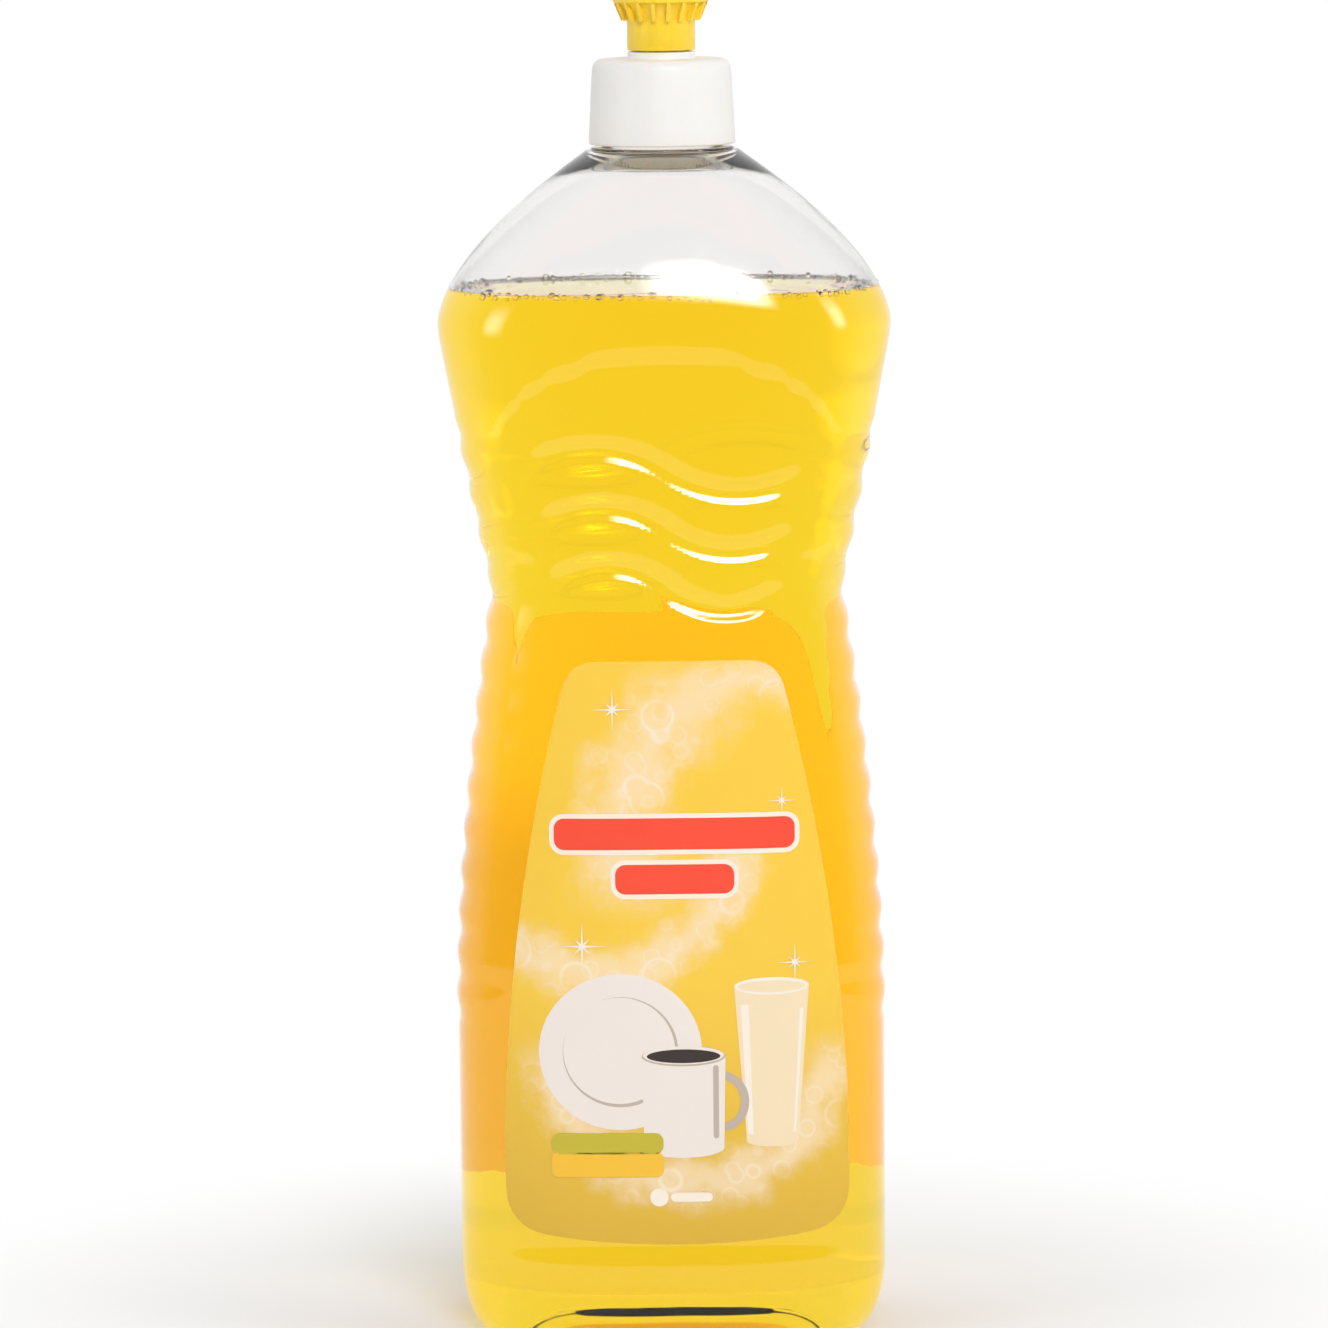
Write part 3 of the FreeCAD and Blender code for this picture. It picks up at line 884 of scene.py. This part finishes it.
# %% A tree that winds a thread
def thread_tree(material):
    tree, given, result = node_tree("screw_thread", [
        ("Radius", "NodeSocketFloat", 0.013),
        ("Pitch", "NodeSocketFloat", 0.003),
        ("Turns", "NodeSocketFloat", 1.5),
        ("Start", "NodeSocketFloat", 0.26),
        ("Thickness", "NodeSocketFloat", 0.0005),
    ])
    climb = maths(tree, "MULTIPLY", given.outputs["Pitch"], given.outputs["Turns"])
    helix = add(tree, "GeometryNodeCurveSpiral", {
        "Resolution": 72, "Rotations": given.outputs["Turns"],
        "Start Radius": given.outputs["Radius"], "End Radius": given.outputs["Radius"],
        "Height": climb})
    ring = add(tree, "GeometryNodeCurvePrimitiveCircle", {
        "Resolution": 10, "Radius": given.outputs["Thickness"]})
    wound = add(tree, "GeometryNodeCurveToMesh", {
        "Curve": helix.outputs[0], "Profile Curve": ring.outputs[0], "Fill Caps": True})
    lift = add(tree, "ShaderNodeCombineXYZ", {"Z": given.outputs["Start"]})
    placed = add(tree, "GeometryNodeSetPosition", {
        "Geometry": wound.outputs[0], "Offset": lift.outputs[0]})
    real = add(tree, "GeometryNodeRealizeInstances", {0: placed.outputs[0]})
    done = add(tree, "GeometryNodeSetMaterial", {"Geometry": real.outputs[0],
                                                 "Material": material})
    tree.links.new(done.outputs[0], result.inputs[0])
    return tree


thread_pitch = 0.003
thread_turns = 1.5
thread_half = 0.0006
neck_thread_start = body_height + 0.0068


def add_thread(name, body, material, radius, start):
    piece = new_object(name, bpy.data.meshes.new(name), body, material)
    through_tree(piece, thread_tree(material), {
        "Radius": radius, "Pitch": thread_pitch, "Turns": thread_turns,
        "Start": start, "Thickness": thread_half})
    piece.data.shade_smooth()
    return piece


add_thread("neck_thread", "bottle", clear_plastic,
           neck_radius + 0.0004, neck_thread_start)
add_thread("closure_thread", "closure", white_plastic,
           closure_bore - 0.0004, neck_thread_start + thread_pitch / 2)

# %% [markdown]
# ## Bubbles on the soap
# A bottle that has just been carried has fine bubbles along the wall at the soap line. Each
# is a small ball, scattered by a tree along the soap's edge with a fixed seed, so they fall
# in the same places each time.

# %% Bubbles along the soap line
def bubble_tree(material):
    tree, given, result = node_tree("edge_bubbles", [
        ("Count", "NodeSocketInt", 260),
        ("Small", "NodeSocketFloat", 0.0002),
        ("Large", "NodeSocketFloat", 0.0008),
        ("Seed", "NodeSocketInt", 7),
    ])
    curve = add(tree, "GeometryNodeMeshToCurve", {0: given.outputs["Geometry"]})
    spread = add(tree, "GeometryNodeResampleCurve",
                 {"Curve": curve.outputs[0], "Count": given.outputs["Count"]})
    jitter = add(tree, "FunctionNodeRandomValue", {
        0: (-0.0008, -0.0008, -0.0007), 1: (0.0008, 0.0008, 0.0005),
        "Seed": given.outputs["Seed"]}, data_type="FLOAT_VECTOR")
    loose = add(tree, "GeometryNodeSetPosition",
                {"Geometry": spread.outputs[0], "Offset": jitter.outputs[0]})
    size = add(tree, "FunctionNodeRandomValue", {
        2: given.outputs["Small"], 3: given.outputs["Large"],
        "Seed": given.outputs["Seed"]}, data_type="FLOAT")
    ball = add(tree, "GeometryNodeMeshIcoSphere", {"Radius": 1.0, "Subdivisions": 2})
    copies = add(tree, "GeometryNodeInstanceOnPoints", {
        "Points": loose.outputs[0], "Instance": ball.outputs[0], "Scale": size.outputs[1]})
    real = add(tree, "GeometryNodeRealizeInstances", {0: copies.outputs[0]})
    done = add(tree, "GeometryNodeSetMaterial", {"Geometry": real.outputs[0],
                                                 "Material": material})
    tree.links.new(done.outputs[0], result.inputs[0])
    return tree


def bubble_material():
    material, tree, shader = empty_material("soap_bubble")
    place = add(tree, "ShaderNodeTexCoord").outputs["Object"]
    film = add(tree, "ShaderNodeTexNoise", {"Vector": place, "Scale": 900.0})
    rough = add(tree, "ShaderNodeMapRange", {"Value": film.outputs[0], "To Max": 0.05})
    tree.links.new(rough.outputs[0], shader.inputs["Roughness"])
    shader.inputs["Base Color"].default_value = (1.0, 0.97, 0.9, 1)
    shader.inputs["IOR"].default_value = 1.25
    shader.inputs["Transmission Weight"].default_value = 1.0
    return material


soap_bubble = bubble_material()
inward = 0.985
line = np.array([(x * inward, y * inward, fill_height + 0.0003) for x, y, _ in edge])
mesh = bpy.data.meshes.new("soap_bubbles")
mesh.from_pydata([tuple(map(float, p)) for p in line],
                 [(i, (i + 1) % columns) for i in range(columns)], [])
bubbles = new_object("soap_bubbles", mesh, "bottle", soap_bubble)
through_tree(bubbles, bubble_tree(soap_bubble), {"Count": 260})
bubbles.data.shade_smooth()
print("bubbles", len(bubbles.data.polygons), "faces")

# %% [markdown]
# ## Labels that follow the bottle
# A label is film glued to a curved wall, so it is cut flat and then laid on. The flat shape
# is split along a grid, every corner of it is cast onto the finished bottle, and the sheet
# gets its thickness along the wall's own normal. Each colour of the print is one more thin
# patch on top, as ink is.

# %% Laying a flat shape on the bottle
wall_tree = BVHTree.FromObject(bottle, bpy.context.evaluated_depsgraph_get())
grid_step = 0.0035
film_gap = 0.00006
film_thickness = 0.00015


def laid_on(name, outlines, rise, thickness, materials, back=False):
    """A thin closed sheet on the wall, from outlines in the (x, z) plane."""
    facing = 1 if back else -1
    bm = bmesh.new()
    for outline_points in outlines:
        bm.faces.new([bm.verts.new((x, 0, z)) for x, z in outline_points])
    for axis in (0, 2):
        low = min(v.co[axis] for v in bm.verts)
        high = max(v.co[axis] for v in bm.verts)
        for k in range(math.ceil(low / grid_step), math.floor(high / grid_step) + 1):
            place, normal = Vector((0, 0, 0)), Vector((0, 0, 0))
            place[axis], normal[axis] = k * grid_step, 1
            bmesh.ops.bisect_plane(bm, geom=bm.verts[:] + bm.edges[:] + bm.faces[:],
                                   dist=1e-7, plane_co=place, plane_no=normal)
    bmesh.ops.triangulate(bm, faces=[f for f in bm.faces if len(f.verts) > 4])
    bm.normal_update()
    for face in bm.faces:
        if face.normal.y * facing < 0:
            face.normal_flip()
    bm.verts.index_update()
    low, high = [], []
    for v in bm.verts:
        hit, normal, _, _ = wall_tree.ray_cast(Vector((v.co.x, 0.1 * facing, v.co.z)),
                                               Vector((0, -facing, 0)))
        low.append(hit + normal * rise)
        high.append(hit + normal * (rise + thickness))
    count = len(high)
    faces = [tuple(v.index for v in f.verts) for f in bm.faces]
    inside = [tuple(i + count for i in reversed(f)) for f in faces]
    rim = []
    for e in bm.edges:
        if e.is_boundary:
            loop = e.link_loops[0]
            a, b = loop.vert.index, loop.link_loop_next.vert.index
            rim.append((b, a, a + count, b + count))
    bm.free()
    mesh = bpy.data.meshes.new(name)
    mesh.from_pydata(high + low, [], faces + inside + rim)
    mesh.shade_smooth()
    mesh.set_sharp_from_angle(angle=math.radians(40))
    piece = new_object(name, mesh, "bottle", materials)
    if len(mesh.materials) > 1:
        for i in range(len(faces), len(faces) + len(inside)):
            mesh.polygons[i].material_index = 1
    return piece


# %% The label's outline
label_bottom = 0.0228
label_top = label_bottom + 0.1265
label_sag = 0.0036
label_half_top = 0.0222
label_half_middle = 0.0341
label_half_bottom = 0.0368
label_shift = 0.001
back_rise = 0.005


def label_side(z):
    """Half the label's width at height z, on a parabola through three points."""
    low = label_bottom + label_sag
    middle = (label_top + low) / 2
    t = (z - middle) / (label_top - middle)
    bend = (label_half_top + label_half_bottom) / 2 - label_half_middle
    slope = (label_half_top - label_half_bottom) / 2
    return label_half_middle + slope * t + bend * t * t


def soft_corner(before, corner, after, steps=9):
    return [
        tuple((1 - t) ** 2 * a + 2 * t * (1 - t) * b + t * t * c
              for a, b, c in zip(before, corner, after))
        for t in np.linspace(0, 1, steps)
    ]


def label_outline(shift, rise, top_corner=0.0062, bottom_corner=0.0085, shrink=0.0):
    """The label's outline, anticlockwise from the lower right corner."""
    top, low = label_top - shrink, label_bottom + label_sag + shrink

    def side(z):
        return label_side(z) - shrink

    def foot(x):
        return label_bottom + shrink + label_sag * (x / label_half_bottom) ** 2

    right = soft_corner((side(low) - bottom_corner, foot(side(low) - bottom_corner)),
                        (side(low), low), (side(low + bottom_corner), low + bottom_corner))
    right += [(side(z), z) for z in np.linspace(low + bottom_corner, top - top_corner, 40)[1:-1]]
    right += soft_corner((side(top - top_corner), top - top_corner), (side(top), top),
                         (side(top) - top_corner, top))
    left = [(-x, z) for x, z in reversed(right)]
    bottom = [(x, foot(x)) for x in
              np.linspace(-side(low) + bottom_corner, side(low) - bottom_corner, 16)[1:-1]]
    return [(x + shift, z + rise) for x, z in right + left + bottom]


# %% [markdown]
# ## The label's ground
# The ground runs from warm yellow down to olive. Sweeps of suds cross it: each is a band
# round a circle, broken up by noise and filled with small rings, which is how a printer's
# artist paints foam. The sweep is a node group, placed once for every band.

# %% Suds sweep group and the label material
def suds_group():
    tree = bpy.data.node_groups.new("suds_sweep", "ShaderNodeTree")
    for label, default in (("Center X", 0.0), ("Center Z", 0.08), ("Radius", 0.03),
                           ("Width", 0.008), ("Low", 0.03), ("High", 0.14)):
        tree.interface.new_socket(label, in_out="INPUT",
                                  socket_type="NodeSocketFloat").default_value = default
    tree.interface.new_socket("Mask", in_out="OUTPUT", socket_type="NodeSocketFloat")
    given, result = tree.nodes.new("NodeGroupInput"), tree.nodes.new("NodeGroupOutput")
    place = add(tree, "ShaderNodeTexCoord").outputs["Object"]
    parts = add(tree, "ShaderNodeSeparateXYZ", {0: place})
    dx = maths(tree, "SUBTRACT", parts.outputs["X"], given.outputs["Center X"])
    dz = maths(tree, "SUBTRACT", parts.outputs["Z"], given.outputs["Center Z"])
    reach = maths(tree, "SQRT", maths(tree, "ADD", maths(tree, "MULTIPLY", dx, dx),
                                      maths(tree, "MULTIPLY", dz, dz)))
    wisp = add(tree, "ShaderNodeTexNoise", {"Vector": place, "Scale": 130.0, "Detail": 5.0})
    drift = maths(tree, "MULTIPLY", maths(tree, "SUBTRACT", wisp.outputs[0], 0.5),
                  maths(tree, "MULTIPLY", given.outputs["Width"], 1.6))
    off = maths(tree, "ABSOLUTE", maths(tree, "ADD", drift,
                maths(tree, "SUBTRACT", reach, given.outputs["Radius"])))
    band = add(tree, "ShaderNodeMapRange", {
        "Value": off, "From Min": given.outputs["Width"], "From Max": 0.0,
        "To Min": 0.0, "To Max": 1.0}, interpolation_type="SMOOTHSTEP").outputs[0]
    low = add(tree, "ShaderNodeMapRange", {
        "Value": parts.outputs["Z"], "From Min": given.outputs["Low"],
        "From Max": maths(tree, "ADD", given.outputs["Low"], 0.012)},
        interpolation_type="SMOOTHSTEP").outputs[0]
    high = add(tree, "ShaderNodeMapRange", {
        "Value": parts.outputs["Z"], "From Min": given.outputs["High"],
        "From Max": maths(tree, "SUBTRACT", given.outputs["High"], 0.012)},
        interpolation_type="SMOOTHSTEP").outputs[0]
    mask = maths(tree, "MULTIPLY", band, maths(tree, "MULTIPLY", low, high))
    tree.links.new(mask, result.inputs[0])
    return tree


suds_sweep = suds_group()
suds_bands = (
    (0.026, 0.112, 0.036, 0.0130, 0.092, 0.156),
    (-0.016, 0.112, 0.030, 0.0085, 0.058, 0.118),
    (0.004, 0.066, 0.030, 0.0090, 0.024, 0.070),
)


def label_material():
    material, tree, shader = empty_material("label_ground")
    place = add(tree, "ShaderNodeTexCoord").outputs["Object"]
    height = add(tree, "ShaderNodeSeparateXYZ", {0: place}).outputs["Z"]
    share = add(tree, "ShaderNodeMapRange", {
        "Value": height, "From Min": label_bottom, "From Max": label_top})
    ground = add(tree, "ShaderNodeValToRGB", {0: share.outputs[0]})
    stops = ground.color_ramp.elements
    stops[0].position, stops[0].color = 0.0, (0.70, 0.43, 0.034, 1)
    stops[1].position, stops[1].color = 1.0, (0.94, 0.60, 0.062, 1)
    middle = stops.new(0.45)
    middle.color = (0.91, 0.58, 0.052, 1)
    masks = []
    for band in suds_bands:
        group = add(tree, "ShaderNodeGroup", node_tree=suds_sweep)
        for socket, value in zip(group.inputs, band):
            socket.default_value = value
        masks.append(group.outputs[0])
    foam = masks[0]
    for mask in masks[1:]:
        foam = maths(tree, "MAXIMUM", foam, mask)
    cells = add(tree, "ShaderNodeTexVoronoi", {"Vector": place, "Scale": 210.0})
    ring = add(tree, "ShaderNodeMapRange", {
        "Value": maths(tree, "ABSOLUTE", maths(tree, "SUBTRACT", cells.outputs[0], 0.38)),
        "From Min": 0.09, "From Max": 0.0})
    large = add(tree, "ShaderNodeTexVoronoi", {"Vector": place, "Scale": 95.0})
    bubble = add(tree, "ShaderNodeMapRange", {
        "Value": maths(tree, "ABSOLUTE", maths(tree, "SUBTRACT", large.outputs[0], 0.36)),
        "From Min": 0.05, "From Max": 0.0})
    rings = maths(tree, "MAXIMUM", maths(tree, "MULTIPLY", ring.outputs[0], 0.6),
                  bubble.outputs[0])
    froth = maths(tree, "MULTIPLY", foam,
                  maths(tree, "ADD", 0.60, maths(tree, "MULTIPLY", rings, 0.40)))
    tint = add(tree, "ShaderNodeMix", {0: froth, 6: ground.outputs[0], 7: (0.93, 0.78, 0.60, 1)},
               data_type="RGBA")
    tree.links.new(tint.outputs[2], shader.inputs["Base Color"])
    group = add(tree, "ShaderNodeGroup", node_tree=moulded_skin)
    group.inputs["Roughness"].default_value = 0.3
    group.inputs["Cloud"].default_value = 0.05
    tree.links.new(group.outputs["Roughness"], shader.inputs["Roughness"])
    tree.links.new(group.outputs["Normal"], shader.inputs["Normal"])
    return material


label_ground = label_material()
# The inside face of both labels glows with painted light: its warm emission stands in for the light
# that reaches it through the bottle and the soap.
label_inside_painted_glow = moulded("label_inside_painted_glow", (0.97, 0.93, 0.80), 0.6, 0.04, 0.1, 1500)
label_inside_painted_glow.node_tree.nodes["Principled BSDF"].inputs["Emission Color"].default_value = (
    1.0, 0.80, 0.45, 1)
label_inside_painted_glow.node_tree.nodes["Principled BSDF"].inputs["Emission Strength"].default_value = 0.42
back_ground = moulded("back_label_ground", (0.93, 0.62, 0.06), 0.35, 0.05, 0.1, 2500)
ink_colors = {
    "cream": (0.92, 0.82, 0.70), "red": (0.93, 0.075, 0.035), "china": (0.84, 0.76, 0.70),
    "shade": (0.52, 0.43, 0.36), "gap": (0.035, 0.022, 0.018), "green": (0.55, 0.46, 0.03),
    "pad": (0.90, 0.52, 0.03), "glass": (0.88, 0.72, 0.48),
}
inks = {name: moulded("ink_" + name, color, 0.32, 0.04, 0.05, 3000)
        for name, color in ink_colors.items()}

front_label = laid_on("front_label_film", [label_outline(label_shift, 0)], film_gap,
                      film_thickness, [label_ground, label_inside_painted_glow])
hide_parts("front_label")
back_label = laid_on("back_label_film", [label_outline(-label_shift, back_rise)], film_gap,
                     film_thickness, [back_ground, label_inside_painted_glow], back=True)
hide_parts("back_label")
print("labels", len(front_label.data.polygons), len(back_label.data.polygons), "faces")

# %% [markdown]
# ## The print
# The picture on the label is plain crockery: a mug and a tumbler before a leaning plate,
# with a sponge at their foot, and two plain bars where a heading would be. Every shape is an outline in
# millimetres on the flat label. Later inks lie a hundredth of a millimetre above earlier ones.

# %% Outlines of the print
def ellipse(x, z, rx, rz, start=0, end=360, steps=40):
    closed = end - start >= 360
    turns = np.radians(np.linspace(start, end, steps, endpoint=not closed))
    return [(x + rx * math.cos(a), z + rz * math.sin(a)) for a in turns]


def bar(x, z, width, height, corner):
    points = []
    for sx, sz, start in ((1, 1, 0), (-1, 1, 90), (-1, -1, 180), (1, -1, 270)):
        points += ellipse(x + sx * (width / 2 - corner), z + sz * (height / 2 - corner),
                          corner, corner, start, start + 90, 7)
    return points


def print_in(ink, layer, *outlines):
    outlines = [[(x / 1000, z / 1000) for x, z in one] for one in outlines]
    height = film_gap + film_thickness + 0.00001 + layer * 0.000012
    return laid_on("print_" + ink + "_" + str(layer), outlines, height, 0.00001,
                   inks[ink])


print_in("cream", 1, bar(1.0, 112.2, 53.5, 8.8, 3.0), bar(1.0, 102.4, 27.5, 8.4, 3.0))
print_in("red", 2, bar(1.0, 112.2, 51.5, 6.8, 2.2), bar(1.0, 102.4, 25.5, 6.4, 2.2))
plate_x, plate_z = -11.0, 65.0
print_in("china", 1, ellipse(plate_x, plate_z, 17.5, 17.0, steps=72))
print_in("shade", 2, ellipse(plate_x, plate_z, 12.4, 12.0, steps=60))
print_in("china", 3, ellipse(plate_x - 0.3, plate_z + 0.3, 12.0, 11.6, steps=60))
tumbler = [(16.0, 45.0), (27.0, 45.0), (29.5, 79.0), (13.5, 79.0)]
print_in("glass", 1, tumbler, ellipse(21.5, 45.2, 5.5, 1.2))
print_in("cream", 2, ellipse(21.5, 79.0, 8.0, 1.9),
         [(16.2, 47.0), (17.4, 46.6), (16.6, 75.0), (14.9, 75.0)],
         [(26.0, 47.0), (26.5, 47.0), (28.3, 74.0), (27.5, 74.0)])
print_in("glass", 3, ellipse(21.5, 78.9, 7.2, 1.3))
handle = ellipse(10.5, 54.0, 6.0, 6.6, -80, 80, 24) + ellipse(10.5, 54.0, 4.2, 4.8, 80, -80, 24)
mug = ellipse(2.5, 44.0, 8.6, 2.2, 180, 360, 24) + [(11.5, 64.0), (-6.5, 64.0)]
print_in("shade", 4, handle)
print_in("china", 5, mug)
print_in("shade", 6, ellipse(2.5, 64.0, 9.0, 2.2))
print_in("china", 7, ellipse(2.5, 64.2, 8.7, 2.0))
print_in("gap", 8, ellipse(2.5, 64.0, 7.9, 1.5))
print_in("shade", 7, bar(9.4, 54.0, 1.2, 16.0, 0.6))
print_in("green", 9, bar(-14.0, 45.0, 24.0, 4.6, 1.8))
print_in("pad", 9, bar(-14.0, 40.4, 24.0, 5.4, 1.4))
sparkles = []
for x, z, size in ((-19.0, 88.0, 5.0), (26.5, 84.0, 4.0), (-12.0, 139.0, 4.5), (24.0, 119.0, 3.2)):
    sparkles.append([(x + size * reach * math.cos(turn), z + size * reach * math.sin(turn))
                     for turn, reach in ((k * math.pi / 8, (1, 0.13, 0.45, 0.13)[k % 4])
                                         for k in range(16))])
print_in("cream", 10, *sparkles)
print_in("cream", 8, bar(4.0, 33.2, 9.0, 2.0, 1.0), ellipse(-3.0, 33.2, 2.0, 2.0, steps=20))
print("prints laid on")

# %% [markdown]
# ## Light and floor
# Soft daylight from all sides, one broad lamp above and in front whose reflection draws the
# bright streaks in the grooves, and two weak ones beside. The world shows plain white to the
# camera and through clear pieces, but lights the bottle more softly than that.

# %% World, lamps and floor
def seen_directly(tree):
    """1 for rays from the camera, from gloss and through glass, else 0."""
    path = add(tree, "ShaderNodeLightPath").outputs
    direct = maths(tree, "MAXIMUM", path["Is Camera Ray"], path["Is Glossy Ray"])
    return maths(tree, "MAXIMUM", direct, path["Is Transmission Ray"])


world = bpy.data.worlds.new("studio")
world.use_nodes = True
bpy.context.scene.world = world
tree = world.node_tree
tree.nodes.clear()
toward = add(tree, "ShaderNodeTexCoord").outputs["Generated"]
behind = add(tree, "ShaderNodeMapRange", {
    "Value": add(tree, "ShaderNodeSeparateXYZ", {0: toward}).outputs["Y"],
    "From Min": -0.6, "From Max": 0.3, "To Min": 0.27, "To Max": 0.9},
    interpolation_type="SMOOTHSTEP").outputs[0]
path = add(tree, "ShaderNodeLightPath").outputs
plain_white = maths(tree, "MAXIMUM", path["Is Camera Ray"], path["Is Transmission Ray"])
strength = add(tree, "ShaderNodeMix", {0: plain_white, 2: behind, 3: 1.0})
background = add(tree, "ShaderNodeBackground", {"Color": (1, 1, 1, 1),
                                                "Strength": strength.outputs[0]})
output = add(tree, "ShaderNodeOutputWorld", {"Surface": background.outputs[0]})


def lamp(name, place, aim_at, width, height, power, color=(1, 1, 1)):
    data = bpy.data.lights.new(name, "AREA")
    data.shape = "RECTANGLE"
    data.size, data.size_y, data.energy, data.color = width, height, power, color
    data.use_nodes = True
    tree = data.node_tree
    across = add(tree, "ShaderNodeSeparateXYZ", {0: add(tree, "ShaderNodeTexCoord").outputs["UV"]})
    edges = []
    for axis in ("X", "Y"):
        off = maths(tree, "ABSOLUTE", maths(tree, "SUBTRACT", across.outputs[axis], 0.5))
        edges.append(add(tree, "ShaderNodeMapRange", {"Value": off, "From Min": 0.5,
                     "From Max": 0.1}, interpolation_type="SMOOTHSTEP").outputs[0])
    fade = maths(tree, "MULTIPLY", maths(tree, "MULTIPLY", *edges), 2.2)
    tree.links.new(fade, tree.nodes["Emission"].inputs["Strength"])
    one = bpy.data.objects.new(name, data)
    one.location = place
    one.rotation_mode = "QUATERNION"
    one.rotation_quaternion = (Vector(aim_at) - Vector(place)).to_track_quat("-Z", "Y")
    bpy.context.scene.collection.objects.link(one)
    return one


lamp("softbox_above", (0.20, -0.82, 0.70), (0, 0, 0.18), 0.55, 0.34, 6.6)
lamp("softbox_left", (-1.1, -0.6, 0.5), (0, 0, 0.14), 0.5, 0.9, 3)
lamp("softbox_right", (1.1, -0.5, 0.6), (0, 0, 0.14), 0.4, 0.9, 3)

floor_radius = 0.6
floor_mesh = lathe("floor", [(0.0001, 0.0), (0.2, 0.0), (0.5, 0.0), (floor_radius, 0.0)], 96, False)
floor = bpy.data.objects.new("floor", floor_mesh)
bpy.context.scene.collection.objects.link(floor)
floor_paint, tree, shader = empty_material("floor_paint")
shader.inputs["Base Color"].default_value = (0.88, 0.88, 0.88, 1)
shader.inputs["Roughness"].default_value = 0.8
place = add(tree, "ShaderNodeTexCoord").outputs["Object"]
reach = add(tree, "ShaderNodeVectorMath", {0: place}, operation="LENGTH").outputs["Value"]
away = add(tree, "ShaderNodeMapRange", {"Value": reach, "From Min": 0.06, "From Max": 0.2},
           interpolation_type="SMOOTHSTEP").outputs[0]
plain = add(tree, "ShaderNodeEmission", {"Color": (1, 1, 1, 1), "Strength": 1.0})
through_glass = add(tree, "ShaderNodeLightPath").outputs["Is Transmission Ray"]
bare = maths(tree, "MAXIMUM", maths(tree, "MULTIPLY", away, seen_directly(tree)),
             maths(tree, "MULTIPLY", through_glass, 0.8))
blend = add(tree, "ShaderNodeMixShader", {0: bare, 1: shader.outputs[0],
                                          2: plain.outputs[0]})
tree.links.new(blend.outputs[0], tree.nodes["Material Output"].inputs["Surface"])
floor_mesh.materials.append(floor_paint)
